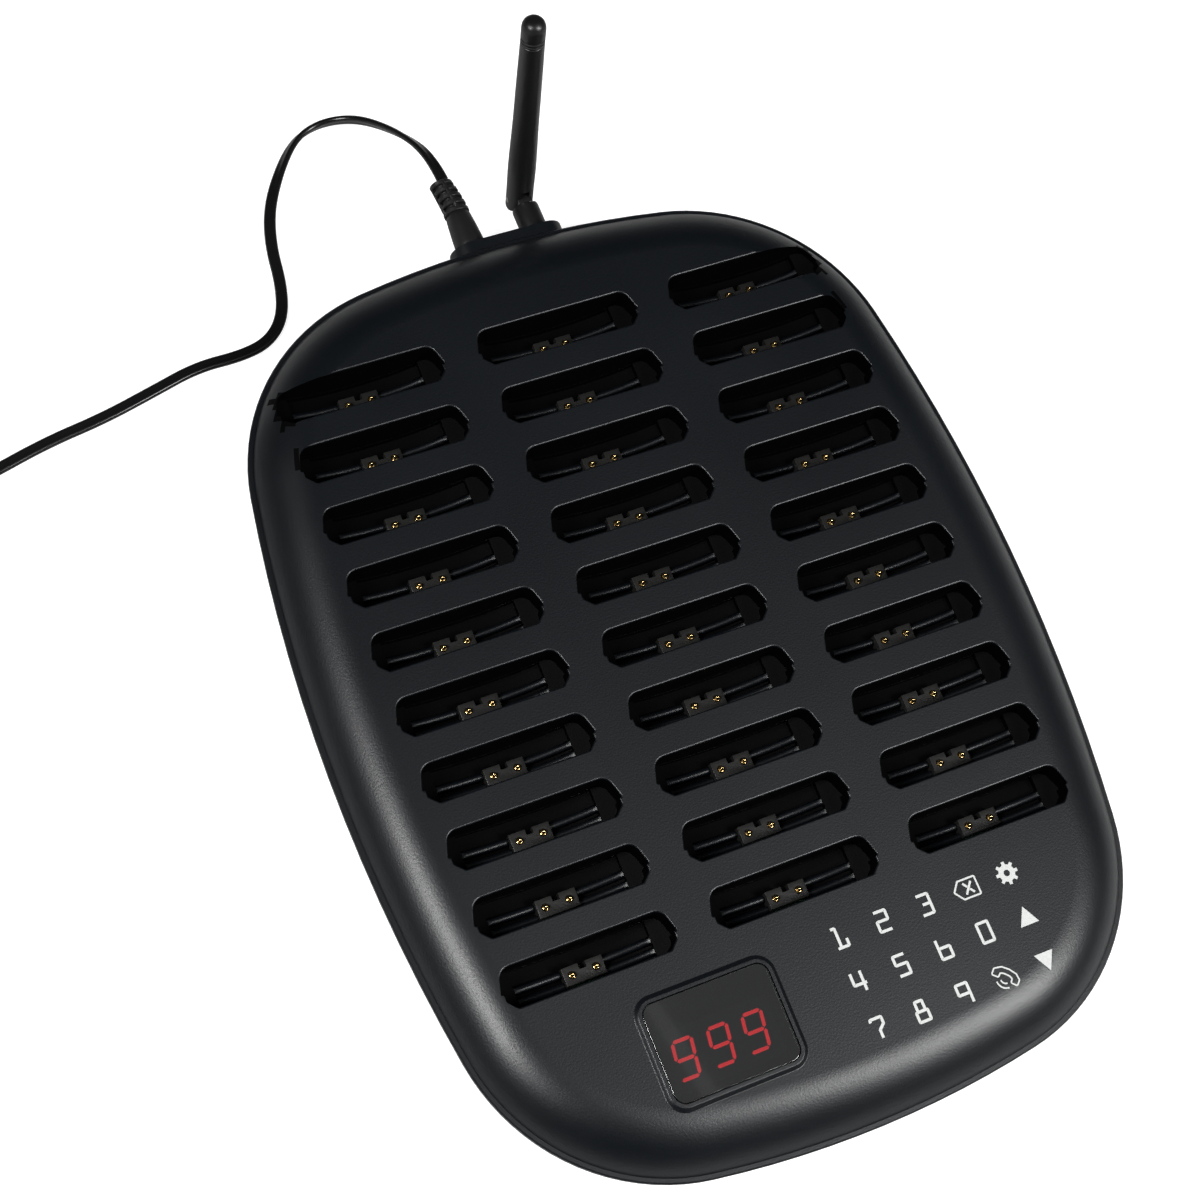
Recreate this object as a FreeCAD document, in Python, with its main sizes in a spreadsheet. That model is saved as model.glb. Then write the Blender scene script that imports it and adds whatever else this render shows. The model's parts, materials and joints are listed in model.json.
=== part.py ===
import FreeCAD, Part
import math
import os
import Sketcher
from types import SimpleNamespace

from FreeCAD import Placement, Rotation, Vector

# Guest pager base: a low charging tray with thirty upright wells, a small red display, a printed touch
# keypad, an elbow antenna and a plugged-in power lead. Millimetres, X to the right, Y to the rear, Z up.

doc = FreeCAD.newDocument("guest_pager_base")

# Driving dimensions
sheet = doc.addObject("Spreadsheet::Sheet", "Sizes")
sizes = {
    # plan of the housing, measured at the outer edge of the lower cover's flange
    "half_width": 126.4,
    "half_length": 164.8,
    "side_radius": 616.0,
    "end_radius": 364.0,
    "corner_radius": 73.0,
    # heights of the housing
    "top_height": 46.0,
    "rim_drop": 12.0,
    "rim_run": 20.0,
    "rim_steps": 4,
    "flange_step": 1.75,
    "flange_thickness": 2.5,
    "flange_edge": 0.5,
    "foot_height": 2.5,
    "cover_wall": 2.5,
    "pan_wall": 2.5,
    "pan_step": 3.0,
    "pan_draft": 5.0,
    "pan_knuckle_height": 6.0,
    "pan_knuckle_inset": 4.0,
    # charging wells
    "well_columns": 3,
    "well_rows": 10,
    "column_pitch": 72.1,
    "row_pitch": 23.0,
    "grid_middle": 19.0,
    "slot_length": 59.7,
    "slot_width": 13.2,
    "slot_corner": 4.0,
    "slot_front_corner": 3.0,
    "slot_slant": 2.4,
    "slot_step": 1.0,
    "well_wall": 1.6,
    "tile_margin": 0.5,
    "saddle_depth": 14.2,
    "saddle_radius": 110.0,
    "saddle_floor": 2.2,
    "saddle_steps": 3,
    # charging contacts
    "pin_row_offset": 1.8,
    "block_length": 14.0,
    "block_width": 6.1,
    "block_notch_length": 2.5,
    "block_notch_width": 2.1,
    "pin_diameter": 1.9,
    "pin_pitch": 8.3,
    "pin_length": 5.0,
    "pin_tip": 0.5,
    "pin_depth": 12.0,
    "pin_stand": 1.0,
    "pin_bore_depth": 6.2,
    "pin_clearance": 0.08,
    "block_clearance": 0.3,
    # display window, its bezel and the three-digit module
    "window_x": -41.6,
    "window_y": -120.4,
    "window_length": 43.5,
    "window_width": 32.5,
    "window_corner": 4.0,
    "window_thickness": 1.8,
    "window_clearance": 0.15,
    "bezel_height": 1.2,
    "bezel_land": 1.0,
    "bezel_slope": 1.6,
    "module_x": -42.7,
    "module_y": -123.7,
    "module_length": 37.6,
    "module_width": 19.0,
    "module_height": 8.0,
    "module_clearance": 0.3,
    # boards
    "board_thickness": 1.6,
    "block_seat": 7.0,
    "charging_board_length": 172.0,
    "charging_board_width": 224.0,
    "main_board_length": 120.0,
    "main_board_width": 80.0,
    "main_board_rear": 128.0,
    "touch_board_left": -66.0,
    "touch_board_right": 74.0,
    "touch_board_front": -138.5,
    "touch_board_rear": -97.0,
    "touch_board_corner": 22.0,
    # port collar at the rear
    "collar_left": -20.0,
    "collar_right": 22.7,
    "collar_height": 15.0,
    "collar_reach": 4.2,
    "collar_wall": 2.0,
    "port_height": 25.5,
    "plug_x": -11.5,
    "antenna_x": 13.2,
    "jack_length": 14.0,
    "jack_width": 9.0,
    "jack_height": 8.0,
    "jack_nose_radius": 3.9,
    "jack_bore_radius": 3.1,
    "jack_bore_depth": 9.0,
    "jack_pin_radius": 1.05,
    "socket_flange_radius": 4.6,
    "socket_flange_thickness": 2.0,
    "socket_radius": 3.1,
    "socket_reach": 7.5,
    "rf_length": 24.0,
    "rf_width": 17.0,
    "rf_height": 3.2,
    # power plug
    "plug_face_radius": 5.4,
    "plug_neck_radius": 4.2,
    "plug_length": 15.0,
    "relief_length": 15.0,
    "relief_radius": 4.0,
    "relief_end_radius": 3.5,
    "relief_slots": 5,
    "barrel_radius": 2.75,
    "barrel_bore_radius": 1.25,
    "barrel_length": 8.5,
    # antenna
    "knuckle_radius": 4.95,
    "hinge_reach": 16.2,
    "tongue_thickness": 5.0,
    "fork_gap": 0.25,
    "hinge_pin_radius": 1.25,
    "running_gap": 0.05,
    "whip_length": 97.0,
    "whip_lean": 5.8,
    "whip_side_lean": -3.0,
    "fork_height": 7.0,
    "whip_bulge_radius": 5.05,
    "whip_bulge_height": 18.0,
    "whip_waist_radius": 4.55,
    "whip_waist_height": 48.0,
    "whip_top_radius": 4.15,
    "cap_length": 10.5,
    "cap_dome_height": 3.3,
    # fixings and feet
    "foot_radius": 7.0,
    "post_radius": 3.5,
    "boss_radius": 4.8,
    "boss_top": 9.0,
    "screw_radius": 1.45,
    "screw_head_radius": 2.8,
    "screw_head_height": 2.0,
    "screw_length": 12.0,
    "screw_clearance": 0.2,
    "screw_recess": 3.5,
    "board_post_radius": 3.0,
    "board_screw_radius": 1.2,
    "board_screw_head": 2.3,
    "board_screw_length": 6.5,
    "standoff_radius": 3.2,
    "standoff_height": 5.4,
    "edge_margin": 8.0,
    "post_gap": 0.8,
    "side_post_inset": 18.5,
    "front_post_gap": 9.0,
    "front_post_inset": 34.4,
    "foot_x": 72.0,
    "foot_y": 118.0,
    # power lead and its wall adapter
    "cord_width": 4.4,
    "cord_thickness": 2.2,
    "cord_lift": 0.1,
    "bend_share": 0.45,
    "coil_x": -250.0,
    "coil_y": 166.0,
    "coil_entry_angle": -76.1,
    "coil_whole_turns": 4,
    "coil_spans": 18,
    "coil_outer_radius": 31.0,
    "coil_step": 5.2,
    "coil_layer": 3.0,
    "adapter_x": -250.0,
    "adapter_y": 224.0,
    "adapter_length": 58.0,
    "adapter_width": 36.0,
    "adapter_height": 26.0,
    "adapter_corner": 4.0,
    "adapter_chamfer": 1.5,
    "adapter_relief_length": 9.0,
    "adapter_relief_radius": 3.6,
    "adapter_relief_root": 4.5,
    "blade_length": 16.0,
    "blade_width": 6.3,
    "blade_thickness": 1.5,
    "blade_pitch": 12.7,
    # running clearances
    "seam_gap": 0.3,
    "overrun": 1.0,
}
for row, (name, value) in enumerate(sizes.items(), 1):
    sheet.set(f"A{row}", name)
    sheet.set(f"B{row}", str(value))
    sheet.setAlias(f"B{row}", name)
doc.recompute()
s = SimpleNamespace(**{name: float(sheet.get(name)) for name in sizes})

UP = Vector(0, 0, 1)
ACROSS = Vector(1, 0, 0)
REARWARD = Vector(0, 1, 0)
HALF_TURN = 180

# The origin lies on the floor under the middle of all but the cord, so the housing sits forward of it by
# half of what the leaning antenna reaches past the rear.
hinge_y = s.half_length + s.collar_reach + s.hinge_reach
whip_reach = s.whip_length * math.sin(math.radians(s.whip_lean)) + s.whip_top_radius
origin_shift = (hinge_y + whip_reach - s.half_length) / 2

nodes = []


def keep(piece, label):
    """Label a finished piece, carry it to the part's origin and note it for export."""
    piece.Label = label
    piece.Placement = Placement(Vector(0, -origin_shift, 0), Rotation()).multiply(piece.Placement)
    nodes.append(piece)
    return piece


def feature(label, shape):
    piece = doc.addObject("Part::Feature", label)
    piece.Shape = shape
    return keep(piece, label)


def fused(shapes):
    return shapes[0].multiFuse(shapes[1:]).removeSplitter()


# Sketches and bodies
def body(label):
    return doc.addObject("PartDesign::Body", label)


def sketchOn(owner):
    sketch = owner.newObject("Sketcher::SketchObject", "outline")
    level = next(item for item in owner.Origin.OriginFeatures if item.Role == "XY_Plane")
    sketch.AttachmentSupport = [(level, "")]
    sketch.MapMode = "FlatFace"
    return sketch


def rectangle(sketch, length, width, x=0.0, y=0.0):
    """A rectangle about x, y, whose length and width are expressions of the sheet."""
    half_length = doc_value(length) / 2
    half_width = doc_value(width) / 2
    corners = [
        Vector(x - half_length, y - half_width, 0),
        Vector(x + half_length, y - half_width, 0),
        Vector(x + half_length, y + half_width, 0),
        Vector(x - half_length, y + half_width, 0),
    ]
    first = sketch.GeometryCount
    for i in range(4):
        sketch.addGeometry(Part.LineSegment(corners[i], corners[(i + 1) % 4]), False)
    join = Sketcher.Constraint
    for i in range(4):
        sketch.addConstraint(join("Coincident", first + i, 2, first + (i + 1) % 4, 1))
    for i in (0, 2):
        sketch.addConstraint(join("Horizontal", first + i))
        sketch.addConstraint(join("Vertical", first + i + 1))
    for kind, line, words in (("DistanceX", first, length), ("DistanceY", first + 1, width)):
        number = sketch.addConstraint(join(kind, line, 1, line, 2, doc_value(words)))
        sketch.setExpression(f"Constraints[{number}]", words)
    sketch.addConstraint(join("DistanceX", -1, 1, first, 1, x - half_length))
    sketch.addConstraint(join("DistanceY", -1, 1, first, 1, y - half_width))


def polygon(sketch, points):
    first = sketch.GeometryCount
    count = len(points)
    for i in range(count):
        start = Vector(*points[i], 0)
        end = Vector(*points[(i + 1) % count], 0)
        sketch.addGeometry(Part.LineSegment(start, end), False)
    for i in range(count):
        sketch.addConstraint(Sketcher.Constraint("Coincident", first + i, 2, first + (i + 1) % count, 1))
        sketch.addConstraint(Sketcher.Constraint("Block", first + i))


def doc_value(words):
    """The value of a short expression of the sheet, such as Sizes.slot_width + 2 * Sizes.well_wall."""
    return float(sheet.evalExpression(words))


def pad(owner, sketch, length):
    """Pad a sketch by an expression of the sheet."""
    step = owner.newObject("PartDesign::Pad", "pad")
    step.Profile = sketch
    step.setExpression("Length", length)
    return step


# Housing outline: arcs of three radii, tangent to each other, all moved inwards alike by an inset
def meeting(first, first_radius, second, second_radius):
    """Where two circles meet, on the side away from the origin."""
    gap = second - first
    reach = gap.Length
    along = (first_radius**2 - second_radius**2 + reach**2) / (2 * reach)
    aside = math.sqrt(first_radius**2 - along**2)
    direction = gap.normalize()
    return first + direction * along + Vector(direction.y, -direction.x, 0) * aside


side_centre = Vector(s.half_width - s.side_radius, 0, 0)
end_centre = Vector(0, s.half_length - s.end_radius, 0)
corner_centre = meeting(
    end_centre, s.end_radius - s.corner_radius, side_centre, s.side_radius - s.corner_radius
)
if corner_centre.x < 0:
    corner_centre = meeting(
        side_centre, s.side_radius - s.corner_radius, end_centre, s.end_radius - s.corner_radius
    )
side_turn = math.atan2(corner_centre.y, corner_centre.x - side_centre.x)
end_turn = math.atan2(corner_centre.y - end_centre.y, corner_centre.x)


def outline(inset, height):
    """The plan outline as a closed wire of tangent arcs that starts at the middle of the front."""
    right = math.pi / 2
    arcs = []
    for flip_x, flip_y, centre, radius, start, end in (
        (1, -1, end_centre, s.end_radius, -right, -end_turn),
        (1, -1, corner_centre, s.corner_radius, -end_turn, -side_turn),
        (1, 1, side_centre, s.side_radius, -side_turn, side_turn),
        (1, 1, corner_centre, s.corner_radius, side_turn, end_turn),
        (1, 1, end_centre, s.end_radius, end_turn, math.pi - end_turn),
        (-1, 1, corner_centre, s.corner_radius, math.pi - end_turn, math.pi - side_turn),
        (-1, 1, side_centre, s.side_radius, math.pi - side_turn, math.pi + side_turn),
        (-1, -1, corner_centre, s.corner_radius, math.pi + side_turn, math.pi + end_turn),
        (1, -1, end_centre, s.end_radius, math.pi + end_turn, 3 * right),
    ):
        middle = Vector(centre.x * flip_x, centre.y * flip_y, height)
        arcs.append(Part.ArcOfCircle(Part.Circle(middle, UP, radius - inset), start, end).toShape())
    return Part.Wire(arcs)


def swept(section):
    """A band that follows the outline, from the points of its section as pairs of inset and height."""
    inset = section[0][0]
    points = [Vector(0, across - s.half_length, height) for across, height in section]
    profile = Part.makePolygon(points + points[:1])
    return outline(inset, section[0][1]).makePipeShell([profile], True, False)


def filled(inset, low, high):
    """A flat plate within the outline at an inset."""
    return Part.Face(outline(inset, low)).extrude(UP * (high - low))


seam = s.top_height - s.rim_drop
rim_radius = (s.rim_run**2 + s.rim_drop**2) / (2 * s.rim_drop)
rim_edge = s.flange_step + s.rim_run


def rimSection(thickness, steps):
    """Points down the rim's arc, from the flat top to the seam, a wall's thickness inside its face."""
    radius = rim_radius - thickness
    centre_height = s.top_height - rim_radius
    sweep = math.acos((seam - centre_height) / radius)
    return [
        (
            rim_edge - radius * math.sin(sweep * step / steps),
            centre_height + radius * math.cos(sweep * step / steps),
        )
        for step in range(steps + 1)
    ]


# Charging wells
columns = range(int(s.well_columns))
rows = range(int(s.well_rows))
wells = [
    Vector(
        (column - (s.well_columns - 1) / 2) * s.column_pitch,
        s.grid_middle - (row - (s.well_rows - 1) / 2) * s.row_pitch,
        0,
    )
    for row in rows
    for column in columns
]
half_slot = s.slot_length / 2
slot_front = -s.slot_width / 2
slot_rear = s.slot_width / 2
ear_share = 0.4
cut_share = 0.3
ear_y = slot_front + s.slot_width * ear_share


def rounded(points):
    """A closed wire through points, each given with the radius of its corner."""
    edges = []
    count = len(points)
    ends = []
    for i in range(count):
        corner, radius = points[i]
        before = points[i - 1][0] - corner
        after = points[(i + 1) % count][0] - corner
        reach = radius / math.tan(before.getAngle(after) / 2) if radius else 0
        ends.append((corner + before.normalize() * reach, corner + after.normalize() * reach))
    for i in range(count):
        corner, radius = points[i]
        start, end = ends[i]
        if radius:
            inward = (start + end) / 2 - corner
            half = (start - corner).getAngle(inward)
            centre = corner + inward.normalize() * (radius / math.sin(half))
            crown = centre - (centre - corner).normalize() * radius
            edges.append(Part.Arc(start, crown, end).toShape())
        edges.append(Part.makeLine(end, ends[(i + 1) % count][0]))
    return Part.Wire(edges)


def slotOutline(height):
    """The slot in plan: eased rear corners, ends that slant out to an ear, then a narrower, cut-off front."""
    shoulder = half_slot - s.slot_step
    corner = half_slot - s.slot_slant
    cut = s.slot_corner
    right_side = [
        (shoulder - s.slot_front_corner, slot_front),
        (shoulder, slot_front + s.slot_front_corner),
        (shoulder, ear_y),
        (half_slot, ear_y),
        (corner + s.slot_slant * cut_share, slot_rear - cut),
        (corner - cut * cut_share, slot_rear - cut * cut_share),
        (corner - cut, slot_rear),
    ]
    points = right_side + [(-x, y) for x, y in reversed(right_side)]
    return Part.makePolygon([Vector(x, y, height) for x, y in points + points[:1]])


saddle_base = s.top_height - s.saddle_depth


def saddleHeight(across):
    """The height of a well's curved floor, which lifts from its middle towards both ends."""
    return saddle_base + s.saddle_radius - math.sqrt(s.saddle_radius**2 - across**2)


def upright(points, width):
    """A solid of a width about the X axis from the points of its side as pairs of X and Z."""
    corners = [Vector(x, -width / 2, z) for x, z in points]
    return Part.Face(Part.makePolygon(corners + corners[:1])).extrude(REARWARD * width)


saddle_steps = int(s.saddle_steps)
stations = [half_slot * (2 * step / saddle_steps - 1) for step in range(saddle_steps + 1)]
clear_top = s.top_height + s.overrun
over_saddle = [(x, saddleHeight(x)) for x in stations] + [(half_slot, clear_top), (-half_slot, clear_top)]
slot_hole = Part.Face(slotOutline(saddle_base)).extrude(UP * (clear_top - saddle_base))
slot_hole = slot_hole.common(upright(over_saddle, s.slot_width))
block_y = -s.pin_row_offset
block_hole = Part.makeBox(
    s.block_length + 2 * s.block_clearance,
    s.block_width + 2 * s.block_clearance,
    s.saddle_depth,
    Vector(
        -s.block_length / 2 - s.block_clearance,
        block_y - s.block_width / 2 - s.block_clearance,
        saddle_base - s.saddle_floor - s.overrun,
    ),
)
well_hole = fused([slot_hole, block_hole])

# The walls of a well: an eight-sided cup
cup_half = half_slot + s.well_wall
cup_rear = slot_rear + s.well_wall
corner_cut = s.slot_slant + s.slot_corner - s.well_wall / 2
cup_side = [
    (cup_half - corner_cut, -cup_rear),
    (cup_half, ear_y - s.well_wall),
    (cup_half, slot_rear - s.slot_corner - s.well_wall / 2),
    (cup_half - corner_cut, cup_rear),
]
cup_top = s.top_height - s.cover_wall / 2
cup_base = saddle_base - s.saddle_floor
cup_points = [Vector(x, y, cup_base) for x, y in cup_side + [(-x, y) for x, y in reversed(cup_side)]]
cup = Part.Face(Part.makePolygon(cup_points + cup_points[:1])).extrude(UP * (cup_top - cup_base))


def copies(shape, places):
    made = []
    for place in places:
        copy = shape.copy()
        copy.translate(place)
        made.append(copy)
    return made


# Display window, bezel and module
window_place = Vector(s.window_x, s.window_y, 0)
recess_base = s.top_height + s.bezel_height - s.window_thickness - s.window_clearance


def panel(length, width, corner, height, thickness, at=window_place):
    """A flat piece with rounded corners about a place on the top."""
    x = length / 2
    y = width / 2
    corners = [(x, -y), (x, y), (-x, y), (-x, -y)]
    return Part.Face(
        rounded([(at + Vector(*corner_point, height), corner) for corner_point in corners])
    ).extrude(UP * thickness)


def bezel():
    """The frame round the window: a narrow land with sides that slope down to the cover."""
    grown = s.window_clearance + s.bezel_land
    rings = []
    for growth, height in ((grown + s.bezel_slope, s.top_height), (grown, s.top_height + s.bezel_height)):
        x = s.window_length / 2 + growth
        y = s.window_width / 2 + growth
        places = [(x, -y), (x, y), (-x, y), (-x, -y)]
        corner = s.window_corner + growth
        rings.append(rounded([(window_place + Vector(*place, height), corner) for place in places]))
    return Part.makeLoft(rings, True, True)


window_recess = panel(
    s.window_length + 2 * s.window_clearance,
    s.window_width + 2 * s.window_clearance,
    s.window_corner + s.window_clearance,
    recess_base,
    s.window_thickness + s.overrun,
)
module_place = Vector(s.module_x, s.module_y, 0)
module_top = recess_base - s.seam_gap
module_hole = Part.makeBox(
    s.module_length + 2 * s.module_clearance,
    s.module_width + 2 * s.module_clearance,
    s.bezel_height + s.cover_wall + s.overrun,
    module_place
    + Vector(
        -s.module_length / 2 - s.module_clearance,
        -s.module_width / 2 - s.module_clearance,
        s.top_height - s.cover_wall - s.overrun,
    ),
)

# Places of the screws: the covers' own at the sides, rear and front, the charging board's between the columns
pin_top = s.top_height - s.pin_depth
block_top = pin_top - s.pin_stand
board_top = block_top - s.block_seat
grid_half = s.row_pitch * (s.well_rows - 1) / 2
post_side = s.half_width - s.side_post_inset
grid_front = s.grid_middle - s.row_pitch * s.well_rows / 2
post_rear = s.grid_middle + grid_half + cup_rear + s.post_radius + s.post_gap
post_front = s.grid_middle - grid_half - cup_rear - s.post_radius - s.front_post_gap
post_places = [
    Vector(side * x, y, 0)
    for x, y in (
        (post_side, 0),
        (s.column_pitch / 2, post_rear),
        (s.half_width - s.front_post_inset, post_front),
    )
    for side in (-1, 1)
]
board_post_places = [
    Vector(side * s.column_pitch / 2, s.grid_middle + end * (grid_half - s.row_pitch), 0)
    for side in (-1, 1)
    for end in (-1, 1)
]


HEXAGON = 6


def hexagon(place, radius):
    """The corners of a level hexagon about a place."""
    turn = 2 * math.pi / HEXAGON
    return [
        place + Vector(radius * math.cos(turn * side), radius * math.sin(turn * side), 0)
        for side in range(HEXAGON)
    ]


def prism(place, radius, low, high):
    """An upright six-sided prism at a place between two heights."""
    corners = hexagon(place + UP * low, radius)
    return Part.Face(Part.makePolygon(corners + corners[:1])).extrude(UP * (high - low))


def prisms(places, radius, low, high):
    return [prism(place, radius, low, high) for place in places]


# Top cover
outer_rim = rimSection(0, int(s.rim_steps))
inner_rim = rimSection(s.cover_wall, int(s.rim_steps / 2))
plate = filled(rim_edge, s.top_height - s.cover_wall, s.top_height)
cover = fused([swept(outer_rim + inner_rim[::-1]), plate])
cover_form = fused([swept(outer_rim + [(rim_edge, seam)]), filled(rim_edge, seam, s.top_height)])
inner_form = fused([cover_form, filled(s.pan_step + s.pan_wall + s.seam_gap, s.foot_height, seam)])
cups = Part.makeCompound(copies(cup, wells)).common(inner_form).Solids
posts = prisms(post_places, s.post_radius, s.boss_top, cup_top)
board_posts = prisms(board_post_places, s.board_post_radius, board_top, cup_top)
posts = [post.common(inner_form) for post in posts]
cover = cover.multiFuse(cups + posts + board_posts + [bezel()])
pilots = prisms(post_places, s.screw_radius + s.running_gap, s.boss_top, s.boss_top + s.screw_length)
pilots += prisms(
    board_post_places, s.board_screw_radius + s.running_gap, board_top, board_top + s.board_screw_length
)
cover = cover.cut(Part.makeCompound(copies(well_hole, wells) + pilots + [window_recess]))
cover = cover.cut(module_hole).removeSplitter()

# The cover is one moulding, drawn as a shell and a block to each well, which meet face to face
tile_half = cup_half + s.tile_margin
tile = Part.makeBox(
    2 * tile_half,
    s.row_pitch,
    s.top_height,
    Vector(-tile_half, -s.row_pitch / 2, s.overrun),
)
column_tiles = [
    Part.makeBox(
        2 * tile_half,
        s.row_pitch * s.well_rows,
        s.top_height,
        Vector((column - (s.well_columns - 1) / 2) * s.column_pitch - tile_half, grid_front, s.overrun),
    )
    for column in columns
]
cover_frame = cover.cut(column_tiles).removeSplitter()
tiles = [cover.common(copy).removeSplitter() for copy in copies(tile, wells)]
feature("top_cover", cover_frame)
feature("cover_wells", Part.makeCompound(tiles))

# Bottom cover: a pan with a proud flange, drafted sides, and the port collar at its rear
pan_low_inset = s.pan_step + s.pan_draft
pan_base_inset = pan_low_inset + s.pan_knuckle_inset
floor_top = s.foot_height + s.pan_wall
pan = swept(
    [
        (s.flange_edge, seam),
        (0, seam - s.flange_edge),
        (0, seam - s.flange_thickness),
        (s.pan_step, seam - s.flange_thickness),
        (pan_low_inset, s.foot_height + s.pan_knuckle_height),
        (pan_base_inset, s.foot_height),
        (pan_base_inset, floor_top),
        (pan_low_inset + s.pan_wall, s.foot_height + s.pan_knuckle_height),
        (s.pan_step + s.pan_wall, seam),
    ]
)
pan = fused([pan, filled(pan_base_inset, s.foot_height, floor_top)])
collar_rear = s.half_length + s.collar_reach
collar_front = s.half_length - pan_low_inset


def collar(shrink, front, rear):
    """The port collar, a lying block with round ends, made smaller all round by a shrink."""
    radius = s.collar_height / 2 - shrink
    left = Vector(s.collar_left + s.collar_height / 2, front, s.port_height)
    right = Vector(s.collar_right - s.collar_height / 2, front, s.port_height)
    up = UP * radius
    edges = [
        Part.makeLine(left + up, right + up),
        Part.Arc(right + up, right + ACROSS * radius, right - up).toShape(),
        Part.makeLine(right - up, left - up),
        Part.Arc(left - up, left - ACROSS * radius, left + up).toShape(),
    ]
    return Part.Face(Part.Wire(edges)).extrude(REARWARD * (rear - front))


def lying(x, radius, front, rear):
    """A cylinder along Y at the ports' height between two distances."""
    return Part.makeCylinder(radius, rear - front, Vector(x, front, s.port_height), REARWARD)


main_board_top = floor_top + s.standoff_height + s.board_thickness
main_board_middle = s.main_board_rear - s.main_board_width / 2
standoff_x = s.main_board_length / 2 - s.edge_margin
standoff_y = s.main_board_width / 2 - s.edge_margin
standoff_places = [
    Vector(side * standoff_x, main_board_middle + end * standoff_y, 0) for side in (-1, 1) for end in (-1, 1)
]
foot_places = [Vector(x * s.foot_x, y * s.foot_y, 0) for x in (-1, 1) for y in (-1, 1)]
recess_top = s.foot_height + s.screw_recess
bosses = prisms(post_places, s.boss_radius, floor_top - s.pan_wall / 2, s.boss_top)
standoffs = prisms(
    standoff_places, s.standoff_radius, floor_top - s.pan_wall / 2, floor_top + s.standoff_height
)
pan = pan.multiFuse(bosses + standoffs + [collar(0, collar_front, collar_rear)])
holes = prisms(post_places, s.screw_radius + s.screw_clearance, s.foot_height, s.boss_top)
holes += prisms(post_places, s.screw_head_radius + s.screw_clearance, s.foot_height, recess_top)
holes += prisms(
    standoff_places, s.board_screw_radius + s.running_gap, floor_top, floor_top + s.standoff_height
)
holes += [
    collar(s.collar_wall, collar_front - s.overrun, collar_rear - s.collar_wall),
    lying(s.plug_x, s.jack_nose_radius + s.running_gap, collar_front, collar_rear + s.overrun),
    lying(s.antenna_x, s.socket_radius + s.running_gap, collar_front, collar_rear + s.overrun),
]
pan = pan.cut(holes).removeSplitter()
feature("bottom_cover", pan)


# Pieces made as bodies from sketches
def lifted(owner, lift_words, y=0.0):
    """Carry a body to a place on the middle line, its height an expression of the sheet."""
    owner.Placement = Placement(Vector(0, y, doc_value(lift_words)), Rotation())
    return owner


def uprightEdges(shape):
    names = []
    for number, edge in enumerate(shape.Edges, 1):
        along = edge.tangentAt(edge.FirstParameter)
        if abs(along.z) > 1 - Part.Precision.angular() and len(edge.Vertexes) == 2:
            names.append(f"Edge{number}")
    return names


def board(label, length, width, height, y, holes):
    """A circuit board with its screw holes; its lower face is at a height."""
    owner = body(label)
    sketch = sketchOn(owner)
    rectangle(sketch, length, width)
    for place in holes:
        hole = hexagon(place - REARWARD * y, s.board_screw_radius + s.screw_clearance)
        polygon(sketch, [(point.x, point.y) for point in hole])
    pad(owner, sketch, "Sizes.board_thickness")
    return keep(lifted(owner, height, y), label)


pin_top_words = "Sizes.top_height - Sizes.pin_depth"
block_top_words = f"{pin_top_words} - Sizes.pin_stand"
charging_board_words = f"{block_top_words} - Sizes.block_seat - Sizes.board_thickness"
board(
    "charging_board",
    "Sizes.charging_board_length",
    "Sizes.charging_board_width",
    charging_board_words,
    s.grid_middle,
    board_post_places,
)
floor_words = "Sizes.foot_height + Sizes.pan_wall"
board(
    "main_board",
    "Sizes.main_board_length",
    "Sizes.main_board_width",
    f"{floor_words} + Sizes.standoff_height",
    main_board_middle,
    standoff_places,
)

# The touch board lies against the cover's underside, with a cut corner and a notch for the display module
touch = body("touch_board")
touch_sketch = sketchOn(touch)
left, right = s.touch_board_left, s.touch_board_right
front, rear, cut = s.touch_board_front, s.touch_board_rear, s.touch_board_corner
notch_right = s.module_x + s.module_length / 2 + s.module_clearance
notch_rear = s.module_y + s.module_width / 2 + s.module_clearance
polygon(
    touch_sketch,
    [
        (notch_right, front),
        (right - cut, front),
        (right, front + cut),
        (right, rear),
        (left, rear),
        (left, notch_rear),
        (notch_right, notch_rear),
    ],
)
pad(touch, touch_sketch, "Sizes.board_thickness")
keep(lifted(touch, "Sizes.top_height - Sizes.cover_wall - Sizes.board_thickness"), "touch_board")

module = body("display_module")
module_sketch = sketchOn(module)
rectangle(module_sketch, "Sizes.module_length", "Sizes.module_width")
pad(module, module_sketch, "Sizes.module_height")
module.Placement = Placement(module_place + UP * (module_top - s.module_height), Rotation())
keep(module, "display_module")

window = body("display_window")
window_sketch = sketchOn(window)
rectangle(window_sketch, "Sizes.window_length", "Sizes.window_width")
window_pad = pad(window, window_sketch, "Sizes.window_thickness")
doc.recompute()
window_round = window.newObject("PartDesign::Fillet", "corners")
window_round.Base = (window_pad, uprightEdges(window_pad.Shape))
window_round.setExpression("Radius", "Sizes.window_corner")
window.Tip = window_round
window.Placement = Placement(window_place + UP * recess_base, Rotation())
keep(window, "display_window")

rf = body("radio_module")
rf_sketch = sketchOn(rf)
rectangle(rf_sketch, "Sizes.rf_length", "Sizes.rf_width")
pad(rf, rf_sketch, "Sizes.rf_height")
rf.Placement = Placement(
    Vector(s.antenna_x, s.main_board_rear - s.rf_width / 2 - s.seam_gap, main_board_top), Rotation()
)
keep(rf, "radio_module")

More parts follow.
